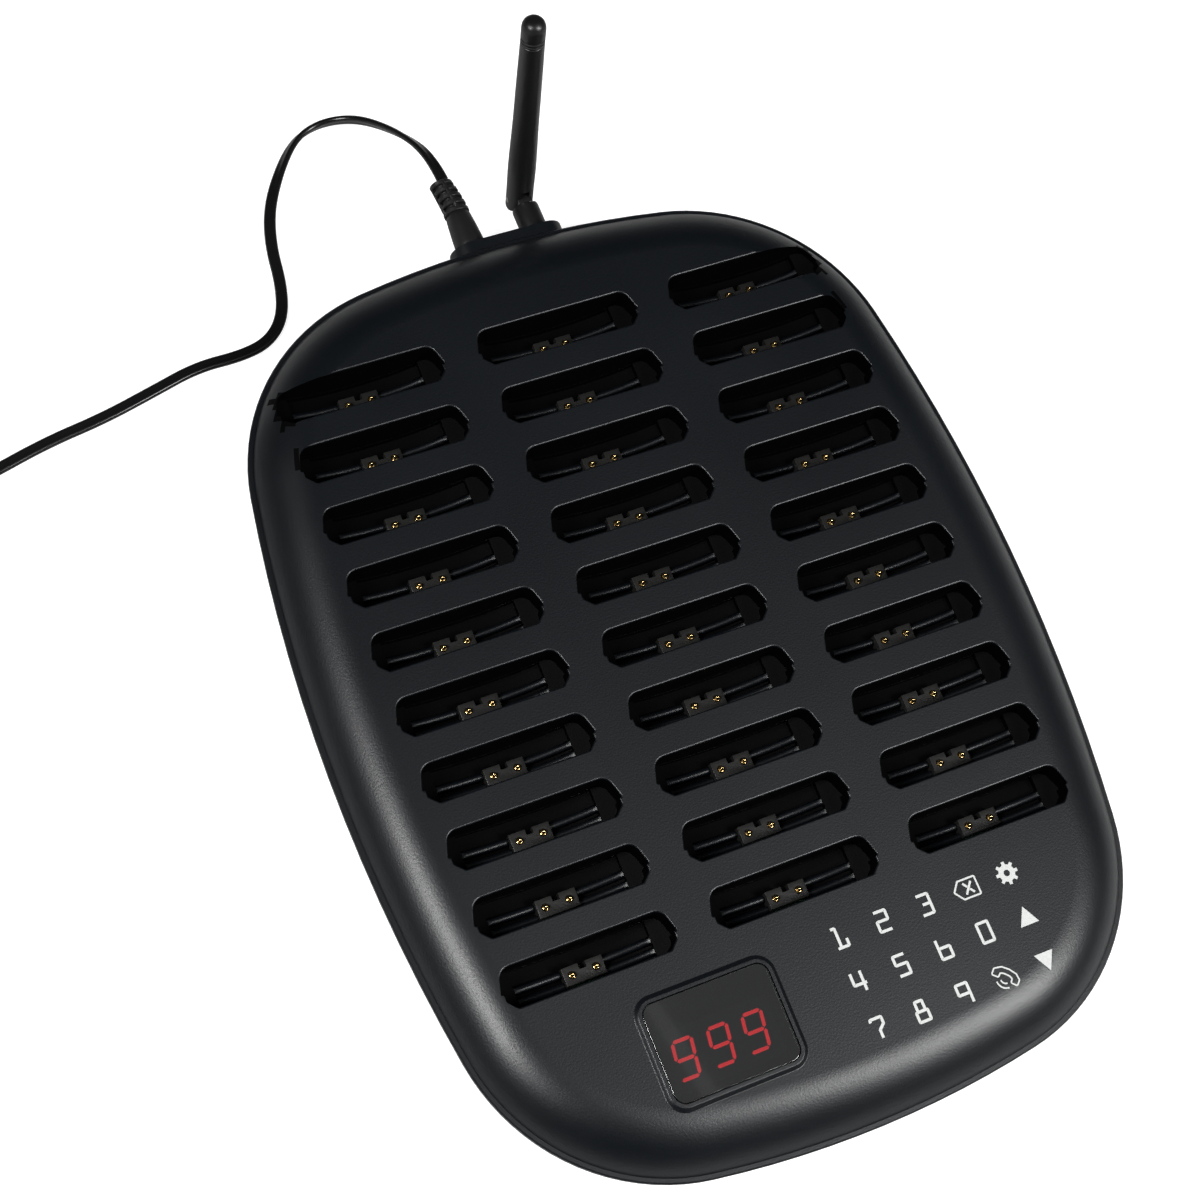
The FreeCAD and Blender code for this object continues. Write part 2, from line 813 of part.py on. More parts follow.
# Contact blocks: each stands on the charging board, notched at its rear, with two blind bores for its pins
pin_places = [Vector(side * s.pin_pitch / 2, block_y, 0) for side in (-1, 1)]
block = Part.makeBox(
    s.block_length,
    s.block_width,
    s.block_seat,
    Vector(-s.block_length / 2, block_y - s.block_width / 2, board_top),
)
notch = Part.makeBox(
    s.block_notch_length,
    s.block_notch_width,
    s.block_seat,
    Vector(-s.block_notch_length / 2, block_y + s.block_width / 2 - s.block_notch_width, board_top),
)
bores = [
    prism(place, s.pin_diameter / 2 + s.pin_clearance, block_top - s.pin_bore_depth, block_top)
    for place in pin_places
]
block = block.cut([notch] + bores)
feature("contact_blocks", Part.makeCompound(copies(block, wells)))

# Contact pins: a pair to each well, on springs of their own inside the block
for number, well in enumerate(wells, 1):
    label = f"contact_pins_{number:02d}"
    pins = body(label)
    pin_sketch = sketchOn(pins)
    for place in pin_places:
        polygon(pin_sketch, [(corner.x, corner.y) for corner in hexagon(place, s.pin_diameter / 2)])
    pin_pad = pad(pins, pin_sketch, "Sizes.pin_length")
    doc.recompute()
    rims = [
        f"Edge{index}"
        for index, edge in enumerate(pin_pad.Shape.Edges, 1)
        if all(abs(vertex.Z - s.pin_length) < s.pin_clearance for vertex in edge.Vertexes)
    ]
    tip = pins.newObject("PartDesign::Chamfer", "tips")
    tip.Base = (pin_pad, rims)
    tip.setExpression("Size", "Sizes.pin_tip")
    pins.Tip = tip
    pins.Placement = Placement(well + UP * (pin_top - s.pin_length), Rotation())
    keep(pins, label)

# Ports inside the collar
cavity_rear = collar_rear - s.collar_wall
jack = Part.makeBox(
    s.jack_width,
    s.jack_length,
    s.jack_height,
    Vector(s.plug_x - s.jack_width / 2, cavity_rear - s.jack_length, s.port_height - s.jack_height / 2),
)
jack = jack.fuse(lying(s.plug_x, s.jack_nose_radius, cavity_rear, collar_rear))
jack = jack.cut(lying(s.plug_x, s.jack_bore_radius, collar_rear - s.jack_bore_depth, collar_rear))
jack = jack.fuse(
    lying(s.plug_x, s.jack_pin_radius, collar_rear - s.jack_bore_depth, collar_rear - s.overrun)
)
feature("power_jack", jack)
socket = lying(s.antenna_x, s.socket_flange_radius, cavity_rear - s.socket_flange_thickness, cavity_rear)
socket = socket.fuse(lying(s.antenna_x, s.socket_radius, cavity_rear, collar_rear + s.socket_reach))
feature("antenna_socket", socket)

# Power plug: a tapered moulding with a slotted strain relief behind it, and its metal barrel
plug_face = collar_rear + s.seam_gap
neck = plug_face + s.plug_length
plug_end = neck + s.relief_length


def taper(x, start_radius, end_radius, front, rear):
    """A cone along Y at the ports' height."""
    return Part.makeCone(
        start_radius, end_radius, rear - front, Vector(x, front, s.port_height), REARWARD
    )


relief_rings = []
for radius, y in ((s.relief_radius, neck), (s.relief_end_radius, plug_end)):
    ring = [Vector(s.plug_x + corner.x, y, s.port_height + corner.y) for corner in hexagon(Vector(), radius)]
    relief_rings.append(Part.makePolygon(ring + ring[:1]))
plug = taper(s.plug_x, s.plug_face_radius, s.plug_neck_radius, plug_face, neck)
plug = plug.fuse(Part.makeLoft(relief_rings, True, True))
relief_pitch = s.relief_length / (int(s.relief_slots) + 1)
spine_share = 0.3
slot_share = 0.45
windows = [
    Part.makeBox(
        s.relief_radius,
        relief_pitch * slot_share,
        2 * s.relief_radius,
        Vector(
            s.plug_x + s.relief_radius * (spine_share if side > 0 else -spine_share - 1),
            neck + relief_pitch * (slot + slot_share),
            s.port_height - s.relief_radius,
        ),
    )
    for slot in range(int(s.relief_slots))
    for side in (-1, 1)
]
plug = plug.cut(windows)
feature("power_plug", plug)
barrel = lying(s.plug_x, s.barrel_radius, plug_face - s.barrel_length, plug_face)
barrel = barrel.cut(lying(s.plug_x, s.barrel_bore_radius, plug_face - s.barrel_length, plug_face))
feature("plug_barrel", barrel)

# Antenna: a knuckle that turns on the socket, and a whip that tilts on the knuckle's tongue
hinge = Vector(s.antenna_x, hinge_y, s.port_height)
knuckle_front = collar_rear + s.seam_gap
tongue_start = hinge_y - s.knuckle_radius - s.fork_gap
tongue_half = s.tongue_thickness / 2
knuckle = lying(s.antenna_x, s.knuckle_radius, knuckle_front, tongue_start)
tongue_round = Part.makeCylinder(
    s.knuckle_radius, s.tongue_thickness, hinge - ACROSS * tongue_half, ACROSS
)
tongue_reach = Part.makeBox(
    s.tongue_thickness,
    hinge_y - tongue_start,
    2 * s.knuckle_radius,
    Vector(s.antenna_x - tongue_half, tongue_start, s.port_height - s.knuckle_radius),
)
knuckle = fused([knuckle, tongue_reach, tongue_round])
knuckle = knuckle.cut(
    [
        Part.makeCylinder(
            s.hinge_pin_radius + s.running_gap, s.tongue_thickness, hinge - ACROSS * tongue_half, ACROSS
        ),
        lying(
            s.antenna_x,
            s.socket_radius + s.running_gap,
            knuckle_front,
            collar_rear + s.socket_reach + s.seam_gap,
        ),
    ]
)
lean = Rotation(REARWARD, s.whip_side_lean)
swing = lean.multiply(Rotation(ACROSS, -s.whip_lean))
knuckle.rotate(hinge, REARWARD, s.whip_side_lean)
feature("antenna_knuckle", knuckle)


def turned(points):
    """A solid of revolution about Z from its profile's points as pairs of radius and height."""
    corners = [Vector(radius, 0, height) for radius, height in points]
    return Part.Face(Part.makePolygon(corners + corners[:1])).revolve(Vector(), UP, 2 * HALF_TURN)


fork_half = s.knuckle_radius
cap_base = s.whip_length - s.cap_length
fork_clear = s.knuckle_radius + s.fork_gap
whip = turned(
    [
        (0, 0),
        (s.knuckle_radius, 0),
        (s.knuckle_radius, s.fork_height),
        (s.whip_bulge_radius, s.whip_bulge_height),
        (s.whip_waist_radius, s.whip_waist_height),
        (s.whip_top_radius, cap_base),
        (0, cap_base),
    ]
)
fork_disc = Part.makeCylinder(s.knuckle_radius, 2 * fork_half, Vector(-fork_half, 0, 0), ACROSS)
fork_block = Part.makeBox(
    2 * fork_half, 2 * fork_half, fork_clear, Vector(-fork_half, -fork_half, 0)
)
fork_slot = Part.makeBox(
    s.tongue_thickness + 2 * s.fork_gap,
    4 * fork_half,
    2 * fork_clear,
    Vector(-tongue_half - s.fork_gap, -2 * fork_half, -fork_clear),
)
pin_hole = Part.makeCylinder(s.hinge_pin_radius, 2 * fork_half, Vector(-fork_half, 0, 0), ACROSS)
whip = fused([whip, fork_disc, fork_block]).cut([fork_slot, pin_hole])
whip_place = Placement(hinge, swing)


def onWhip(label, shape):
    """A piece of the whip, drawn upright about the hinge and then leant as the whip leans."""
    piece = doc.addObject("Part::Feature", label)
    piece.Shape = shape
    piece.Placement = whip_place
    return keep(piece, label)


onWhip("antenna_whip", whip)
onWhip("hinge_pin", pin_hole)
cap_profile = [(0, cap_base), (s.whip_top_radius, cap_base)]
dome_steps = 3
for step in range(dome_steps):
    angle = math.pi / 2 * step / dome_steps
    cap_profile.append(
        (s.whip_top_radius * math.cos(angle), s.whip_length - s.cap_dome_height * (1 - math.sin(angle)))
    )
cap_profile.append((0, s.whip_length))
onWhip("whip_cap", turned(cap_profile))

# Feet and screws
feet = [Part.makeCylinder(s.foot_radius, s.foot_height, place) for place in foot_places]
feature("rubber_feet", Part.makeCompound(feet))


def screw(place, radius, head_radius, head_height, length, seat, pointing):
    """A screw whose head bears on a seat and whose shank points up (1) or down (-1)."""
    head_end = seat - pointing * head_height
    shank_end = seat + pointing * length
    head = prism(place, head_radius, min(seat, head_end), max(seat, head_end))
    return head.fuse(prism(place, radius, min(seat, shank_end), max(seat, shank_end))).removeSplitter()


case_screws = [
    screw(place, s.screw_radius, s.screw_head_radius, s.screw_head_height, s.screw_length, recess_top, 1)
    for place in post_places
]
feature("case_screws", Part.makeCompound(case_screws))
board_screws = []
for places, seat, pointing in (
    (board_post_places, board_top - s.board_thickness, 1),
    (standoff_places, main_board_top, -1),
):
    for place in places:
        board_screws.append(
            screw(
                place,
                s.board_screw_radius,
                s.board_screw_head,
                s.board_screw_radius,
                s.board_screw_length,
                seat,
                pointing,
            )
        )
feature("board_screws", Part.makeCompound(board_screws))

# Power lead: a flat twin cord whose unseen length lies in a coil beside the housing, ending in a wall adapter
half_cord = s.cord_width / 2
cord_rest = s.cord_thickness / 2 + s.cord_lift
coil_centre = Vector(s.coil_x, s.coil_y, cord_rest)
coil_spans = int(s.coil_spans)
coil_turns = (s.coil_entry_angle + HALF_TURN) / (2 * HALF_TURN) + s.coil_whole_turns


def coilNode(span):
    """A point of the coil and the cord's heading there: clockwise, inwards low down, outwards above."""
    done = coil_turns * span / coil_spans
    middle = coil_turns / 2
    inward = done if done < middle else coil_turns - done
    radius = s.coil_outer_radius - s.coil_step * inward
    angle = math.radians(s.coil_entry_angle) - 2 * math.pi * done
    outwards = Vector(math.cos(angle), math.sin(angle), 0)
    forwards = Vector(math.sin(angle), -math.cos(angle), 0)
    side = (span > coil_spans / 2) - (span < coil_spans / 2)
    level = (1 + side) / 2 * s.coil_layer
    rate = s.coil_step * side
    climb = 0 if side else s.coil_layer / 2 * coil_spans / coil_turns
    heading = forwards * (2 * math.pi * radius) + outwards * rate + UP * climb
    return coil_centre + outwards * radius + UP * level, heading.normalize()


def biarc(start, heading, end, last_heading):
    """Two arcs that carry a path smoothly from one heading to another."""
    chord = end - start
    both = heading + last_heading
    spread = 2 * (1 - heading.dot(last_heading))
    along = chord.dot(both)
    reach = (math.sqrt(along**2 + spread * chord.dot(chord)) - along) / spread
    joint = (start + end + (heading - last_heading) * reach) / 2
    first = Part.Arc(*arcThrough(start, heading, joint))
    return [first, Part.Arc(*arcThrough(end, last_heading * -1, joint)[::-1])]


def arcThrough(start, heading, end):
    """Three points of the arc that leaves a start on a heading and ends at a point."""
    chord = end - start
    straight = chord.dot(heading)
    aside = chord - heading * straight
    half = math.atan2(aside.Length, straight)
    sagitta = chord.Length / 2 * math.tan(half / 2)
    outward = heading * math.sin(half) - aside.normalize() * math.cos(half)
    return start, start + chord / 2 + outward * sagitta, end


def sectionAt(place, heading):
    """The flat cord's section, lying level and square to a heading."""
    across = heading.cross(UP).normalize()
    up = across.cross(heading).normalize()
    thick = s.cord_thickness / 2
    pairs = [(half_cord, thick), (-half_cord, thick), (-half_cord, -thick), (half_cord, -thick)]
    corners = [place + across * x + up * y for x, y in pairs]
    return Part.makePolygon(corners + corners[:1])


def swung(edges, place, heading, level):
    """The cord's section carried along a path, kept level where the cord is laid by hand."""
    path = Part.Wire([edge.toShape() for edge in edges])
    pipe = Part.BRepOffsetAPI.MakePipeShell(path)
    if level:
        pipe.setBiNormalMode(UP)
    pipe.add(sectionAt(place, heading))
    pipe.build()
    pipe.makeSolid()
    return pipe.shape(), path


cord_area = s.cord_thickness * s.cord_width
coil_nodes = [coilNode(span) for span in range(coil_spans + 1)]
entry = coil_nodes[0][0]
entry_angle = math.radians(s.coil_entry_angle)
entry_heading = Vector(math.sin(entry_angle), -math.cos(entry_angle), 0)
coil_nodes[0] = (entry, entry_heading)
coil_start = entry - entry_heading * s.cord_width
relief_face = Vector(s.adapter_x - s.adapter_relief_length, s.adapter_y, s.adapter_height / 2)
coil_edges = [Part.LineSegment(coil_start, entry)]
for here, there in zip(coil_nodes, coil_nodes[1:]):
    coil_edges += biarc(*here, *there)
tail_start = relief_face - ACROSS * s.cord_width
coil_edges += biarc(*coil_nodes[-1], tail_start, ACROSS)
coil_edges.append(Part.LineSegment(tail_start, relief_face))
coil, coil_path = swung(coil_edges, coil_start, entry_heading, False)
feature("cord_coil", coil)

# The cord's free stretch, from the plug's relief to the coil: it droops to the table, turns back beside the
# housing and runs off to the left. Its points are chosen by hand.
on_table = cord_rest
cord_exit = Vector(s.plug_x, plug_end, s.port_height)
route = [
    cord_exit,
    Vector(-11.9, 211.0, 24.3),
    Vector(-16.5, 226.0, 17.0),
    Vector(-24.8, 240.0, 8.5),
    Vector(-33.2, 245.7, 3.5),
    Vector(-43.2, 246.4, on_table),
    Vector(-52.3, 242.2, on_table),
    Vector(-61.5, 231.6, on_table),
    Vector(-69.8, 218.2, on_table),
    Vector(-74.2, 203.6, on_table),
    Vector(-75.8, 187.5, on_table),
    Vector(-79.8, 174.8, on_table),
    Vector(-87.6, 167.2, on_table),
    Vector(-98.6, 164.8, on_table),
    Vector(-115.0, 165.2, on_table),
    Vector(-133.0, 160.6, on_table),
    Vector(-152.0, 156.0, on_table),
    Vector(-173.0, 153.0, on_table),
    Vector(-195.0, 147.4, on_table),
    Vector(-217.0, 142.6, on_table),
    coil_start,
]
runs = [there - here for here, there in zip(route, route[1:])]
turns = [first.getAngle(second) for first, second in zip(runs, runs[1:])]
bends = [
    s.bend_share * min(first.Length, second.Length) / math.tan(turn / 2)
    for first, second, turn in zip(runs, runs[1:], turns)
]
cord_edges = []
here = route[0]
for i, radius in enumerate(bends):
    corner = route[i + 1]
    reach = radius * math.tan(turns[i] / 2)
    start = corner - runs[i] * (reach / runs[i].Length)
    end = corner + runs[i + 1] * (reach / runs[i + 1].Length)
    cord_edges.append(Part.LineSegment(here, start))
    cord_edges.append(Part.Arc(*arcThrough(start, Vector(runs[i]).normalize(), end)))
    here = end
cord_edges.append(Part.LineSegment(here, route[-1]))
cord, cord_path = swung(cord_edges, cord_exit, Vector(runs[0]).normalize(), True)
feature("power_cord", cord)


def leastGap(path, skip):
    """The least clear distance of a wound cord to itself, between points a skip or more apart along it."""
    spacing = s.cord_thickness / 2
    points = path.discretize(Distance=spacing)
    width = s.cord_width
    least = path.Length
    for i, first in enumerate(points):
        for second in points[i + int(skip / spacing):]:
            apart = second - first
            level = Vector(apart.x, apart.y, 0).Length
            if level > 2 * width or apart.Length > least + width:
                continue
            gap = math.hypot(max(0, level - width), max(0, abs(apart.z) - s.cord_thickness))
            least = min(least, gap)
    return least


print("cord bends", [round(radius, 1) for radius in bends])
print("cord runs", [round(run.Length, 1) for run in runs])
print("cord length", round(cord_path.Length, 1), "coil length", round(coil_path.Length, 1))
for label, shape, path in (("cord", cord, cord_path), ("coil", coil, coil_path)):
    print(label, "volume over section times length", round(shape.Volume / cord_area / path.Length, 4))
print("coil's least gap to itself", round(leastGap(coil_path, math.pi * s.coil_outer_radius / 2), 2))

# Wall adapter: a rounded block lying on its back, with two flat blades and a short relief round the cord
adapter = Part.makeBox(
    s.adapter_length,
    s.adapter_width,
    s.adapter_height,
    Vector(s.adapter_x, s.adapter_y - s.adapter_width / 2, 0),
)
adapter = adapter.makeFillet(s.adapter_corner, [adapter.Edges[i - 1] for i in (1, 3, 5, 7)])
adapter = adapter.makeChamfer(
    s.adapter_chamfer,
    [edge for edge in adapter.Edges if min(vertex.Z for vertex in edge.Vertexes) > s.adapter_height / 2],
)
relief = Part.makeCone(
    s.adapter_relief_radius,
    s.adapter_relief_root,
    s.adapter_relief_length,
    relief_face,
    ACROSS,
)
feature("adapter_case", adapter.fuse(relief).removeSplitter())
blade_middle = Vector(s.adapter_x + s.adapter_length / 2, s.adapter_y, s.adapter_height)
blades = [
    Part.makeBox(
        s.blade_width,
        s.blade_thickness,
        s.blade_length,
        blade_middle
        + Vector(-s.blade_width / 2, side * s.blade_pitch / 2 - s.blade_thickness / 2, 0),
    )
    for side in (-1, 1)
]
feature("adapter_blades", Part.makeCompound(blades))

# Every feature and piece is whole before anything is written
doc.recompute()
for item in doc.Objects:
    if {"Invalid", "Error"} & set(item.State):
        raise RuntimeError(f"{item.Label} is in state {item.State}")
for piece in nodes:
    if piece.Shape.isNull() or not piece.Shape.isValid() or not piece.Shape.Solids:
        raise RuntimeError(f"{piece.Label} has no valid solid")
os.makedirs("parts", exist_ok=True)
for piece in nodes:
    piece.Shape.exportStep(f"parts/{piece.Label}.step")
print("nodes", len(nodes), "origin shift", round(origin_shift, 3))
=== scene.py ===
import bpy
import bmesh
import math
from mathutils import Matrix, Vector
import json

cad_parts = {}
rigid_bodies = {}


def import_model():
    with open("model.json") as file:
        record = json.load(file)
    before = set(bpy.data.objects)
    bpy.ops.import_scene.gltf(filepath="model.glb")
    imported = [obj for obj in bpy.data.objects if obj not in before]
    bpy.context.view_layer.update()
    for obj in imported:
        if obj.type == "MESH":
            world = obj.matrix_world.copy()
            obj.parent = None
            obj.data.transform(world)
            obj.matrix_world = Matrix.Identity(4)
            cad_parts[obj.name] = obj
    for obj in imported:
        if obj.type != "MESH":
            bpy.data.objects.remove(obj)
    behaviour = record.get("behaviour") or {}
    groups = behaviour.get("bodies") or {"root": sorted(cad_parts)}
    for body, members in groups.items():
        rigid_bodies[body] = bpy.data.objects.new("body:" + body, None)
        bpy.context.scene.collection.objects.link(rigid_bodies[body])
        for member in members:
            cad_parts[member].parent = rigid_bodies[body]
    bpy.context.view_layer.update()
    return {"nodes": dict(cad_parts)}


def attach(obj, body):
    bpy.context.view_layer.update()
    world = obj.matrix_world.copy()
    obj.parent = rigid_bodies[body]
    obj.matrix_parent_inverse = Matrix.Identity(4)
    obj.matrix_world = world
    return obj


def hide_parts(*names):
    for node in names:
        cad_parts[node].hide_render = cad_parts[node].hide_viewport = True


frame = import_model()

mm = 0.001
shiftBack = -17.176  # the housing's middle lies this far forward of the origin, in millimetres
print("frame loaded")


# small helpers for modelling by operators
def activate(piece):
    if bpy.context.object and bpy.context.object.mode != "OBJECT":
        bpy.ops.object.mode_set(mode="OBJECT")
    bpy.ops.object.select_all(action="DESELECT")
    if piece:
        piece.select_set(True)
        bpy.context.view_layer.objects.active = piece
    return piece


def named(name):
    piece = bpy.context.object
    piece.name = name
    piece.data.name = name
    return piece


def place(x, y, z):
    # a point given in millimetres about the housing's middle, in the frame's metres
    return Vector((x * mm, (y + shiftBack) * mm, z * mm))


def settle(piece, matrix=None):
    if matrix is not None:
        piece.data.transform(matrix)
    activate(piece)
    bpy.ops.object.transform_apply(location=True, rotation=True, scale=True)
    return piece


def modified(piece, kind, name="shape", **settings):
    activate(piece)
    modifier = piece.modifiers.new(name, kind)
    for key, value in settings.items():
        setattr(modifier, key, value)
    bpy.ops.object.modifier_apply(modifier=name)
    return piece


def smooth(piece, angle=30):
    activate(piece)
    bpy.ops.object.shade_smooth_by_angle(angle=math.radians(angle))
    return piece


def outwards(piece, merge=0.00001):
    activate(piece)
    bpy.ops.object.mode_set(mode="EDIT")
    bpy.ops.mesh.select_all(action="SELECT")
    bpy.ops.mesh.remove_doubles(threshold=merge)
    bpy.ops.mesh.normals_make_consistent(inside=False)
    bpy.ops.object.mode_set(mode="OBJECT")
    return piece


def joined(pieces, name):
    activate(pieces[0])
    for piece in pieces:
        piece.select_set(True)
    if len(pieces) > 1:
        bpy.ops.object.join()
    return named(name)


def copied(piece, offset):
    made = piece.copy()
    made.data = piece.data.copy()
    bpy.context.collection.objects.link(made)
    made.data.transform(Matrix.Translation(offset))
    return made


def plate(name, points, height):
    # a flat face through points in millimetres, started from a circle with as many corners
    activate(None)
    bpy.ops.mesh.primitive_circle_add(vertices=len(points), radius=mm, fill_type="NGON", location=(0, 0, 0))
    piece = named(name)
    for vertex, (x, y) in zip(piece.data.vertices, points):
        vertex.co = place(x, y, height)
    return piece


def raised(height):
    # in edit mode: pull what is selected up by a height in millimetres
    bpy.ops.mesh.extrude_region_move(TRANSFORM_OT_translate={"value": (0, 0, height * mm)})


def steppedIn(across, down):
    # in edit mode: inset the selected face and move it along its normal
    bpy.ops.mesh.inset(thickness=across * mm, depth=down * mm, use_even_offset=True)


def slab(name, points, low, high):
    piece = plate(name, points, low)
    activate(piece)
    bpy.ops.object.mode_set(mode="EDIT")
    bpy.ops.mesh.select_all(action="SELECT")
    raised(high - low)
    return outwards(piece)


def roundedBox(name, centre, size, bevel=0.3, segments=3):
    # centre and size in millimetres
    activate(None)
    bpy.ops.mesh.primitive_cube_add(size=1, location=place(*centre))
    piece = named(name)
    piece.scale = Vector(size) * mm
    settle(piece)
    if bevel:
        bpy.ops.object.mode_set(mode="EDIT")
        bpy.ops.mesh.select_all(action="SELECT")
        bpy.ops.mesh.bevel(offset=bevel * mm, segments=segments, affect="EDGES")
        bpy.ops.object.mode_set(mode="OBJECT")
    return smooth(piece, 40)


def turnedPiece(name, stations, matrix, corners=64):
    # stations are pairs of radius and height in millimetres about the piece's own upright axis
    activate(None)
    radius, low = stations[0]
    bpy.ops.mesh.primitive_circle_add(
        vertices=corners, radius=radius * mm, fill_type="NGON", location=(0, 0, low * mm)
    )
    piece = named(name)
    settle(piece)
    bpy.ops.object.mode_set(mode="EDIT")
    bpy.ops.mesh.select_all(action="SELECT")
    for nextRadius, height in stations[1:]:
        raised(height - low)
        share = nextRadius / radius
        bpy.ops.transform.resize(value=(share, share, 1), center_override=(0, 0, height * mm))
        radius, low = nextRadius, height
    bpy.ops.object.mode_set(mode="OBJECT")
    outwards(piece, 0.000001)
    piece.data.transform(matrix)
    return smooth(piece, 35)


def boolean(piece, other, operation, solver="MANIFOLD"):
    modified(piece, "BOOLEAN", object=other, operation=operation, solver=solver)
    bpy.data.objects.remove(other, do_unlink=True)
    return piece


# camera
camera = {"place": (-225.0, -166.0, 713.0), "lens": 65.6}
bpy.ops.object.camera_add(location=place(*camera["place"]))
eye = bpy.context.object
eye.name = "camera"
right = Vector((0.9130, -0.3712, 0.1692)).normalized()
back = Vector((-0.2785, -0.2640, 0.9234)).normalized()
up = back.cross(right).normalized()
right = up.cross(back).normalized()
eye.matrix_world = Matrix.Translation(place(*camera["place"])) @ Matrix((right, up, back)).transposed().to_4x4()
eye.data.lens = camera["lens"]
eye.data.sensor_width = 36
eye.data.sensor_fit = "HORIZONTAL"
eye.data.clip_start = 0.01
eye.data.clip_end = 20
bpy.context.scene.camera = eye
print("camera placed")

# the power cord: a limp flat twin lead, laid along the route of the source and wound beside the housing
cordFacts = {"width": 4.4, "thickness": 2.2, "rest": 1.2, "length": 1.08}
coil = {"x": -250.0, "y": 166.0, "radius": 31.0, "step": 5.2, "layer": 3.0, "entry": -76.1, "turns": 4.2886}
route = [
    ((-11.5, 199.3, 25.5), 0), ((-11.9, 211.0, 24.3), 20), ((-16.5, 226.0, 17.0), 60), ((-24.8, 240.0, 8.5), 80),
    ((-33.2, 245.7, 4.2), 85), ((-43.2, 246.4, 2.4), 80), ((-52.3, 242.2, 2.3), 60), ((-61.5, 231.6, 2.0), 35),
    ((-69.8, 218.2, 1.6), 12), ((-74.2, 203.6, 1.3), 0), ((-75.8, 187.5, 1.3), 0), ((-79.8, 174.8, 1.3), 0),
    ((-87.6, 167.2, 1.3), 0), ((-98.6, 164.8, 1.3), 0), ((-115.0, 165.2, 1.3), 0), ((-133.0, 160.6, 1.3), 0),
    ((-152.0, 156.0, 1.3), 0), ((-173.0, 153.0, 1.3), 0), ((-195.0, 147.4, 1.3), 0), ((-217.0, 142.6, 1.3), 0),
]
pointsPerTurn = 16
coilSteps = round(coil["turns"] * pointsPerTurn)
for step in range(coilSteps + 1):
    done = coil["turns"] * step / coilSteps
    inward = min(done, coil["turns"] - done)
    radius = coil["radius"] - coil["step"] * inward
    lift = coil["layer"] * min(1, max(0, (done - coil["turns"] / 2) * 4 + 0.5))
    angle = math.radians(coil["entry"]) - 2 * math.pi * done
    route.append(
        ((coil["x"] + radius * math.cos(angle), coil["y"] + radius * math.sin(angle), cordFacts["rest"] + lift), 0)
    )
route += [
    ((-281, 180, 4.4), 0), ((-281, 200, 5.6), 0), ((-279.5, 215, 9), 0), ((-272, 223.3, 12.4), 0), ((-259, 224, 13), 0),
]


def cordCurve(name, profile):
    data = bpy.data.curves.new(name, "CURVE")
    data.dimensions = "3D"
    data.twist_mode = "Z_UP"
    data.resolution_u = 8
    data.bevel_resolution = 0
    spline = data.splines.new("NURBS")
    spline.points.add(len(route) - 1)
    for point, (spot, lean) in zip(spline.points, route):
        point.co = (*place(*spot), 1)
        point.tilt = math.radians(lean)
    spline.order_u = 3
    spline.use_endpoint_u = True
    spline.resolution_u = 8
    if profile:
        data.bevel_mode = "OBJECT"
        data.bevel_object = profile
        data.use_fill_caps = True
    curve = bpy.data.objects.new(name, data)
    bpy.context.collection.objects.link(curve)
    bpy.context.view_layer.update()
    mesh = bpy.data.meshes.new_from_object(curve.evaluated_get(bpy.context.evaluated_depsgraph_get()))
    bpy.data.objects.remove(curve, do_unlink=True)
    return mesh


def twinProfile():
    data = bpy.data.curves.new("cordSection", "CURVE")
    data.dimensions = "2D"
    spline = data.splines.new("POLY")
    core = cordFacts["thickness"] / 2
    reach = cordFacts["width"] / 2 - core
    spots = []
    for side in (1, -1):
        for step in range(9):
            angle = math.radians(-116 + 232 * step / 8) + (0 if side > 0 else math.pi)
            spots.append((side * reach + core * math.cos(angle), core * math.sin(angle)))
    spline.points.add(len(spots) - 1)
    for point, (x, y) in zip(spline.points, spots):
        point.co = (x * mm, y * mm, 0, 1)
    spline.use_cyclic_u = True
    section = bpy.data.objects.new("cordSection", data)
    bpy.context.collection.objects.link(section)
    return section


lineMesh = cordCurve("cordLine", None)
section = twinProfile()
powerLead = bpy.data.objects.new("powerLead", cordCurve("powerLead", section))
bpy.context.collection.objects.link(powerLead)
bpy.data.objects.remove(section, do_unlink=True)
outwards(powerLead, 0.0000001)
smooth(powerLead, 50)
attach(powerLead, "base")
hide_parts("power_cord", "cord_coil")

# plan of the housing: arcs of three radii
plan = {"halfWidth": 126.4, "halfLength": 164.8, "side": 616.0, "end": 364.0, "corner": 73.0}


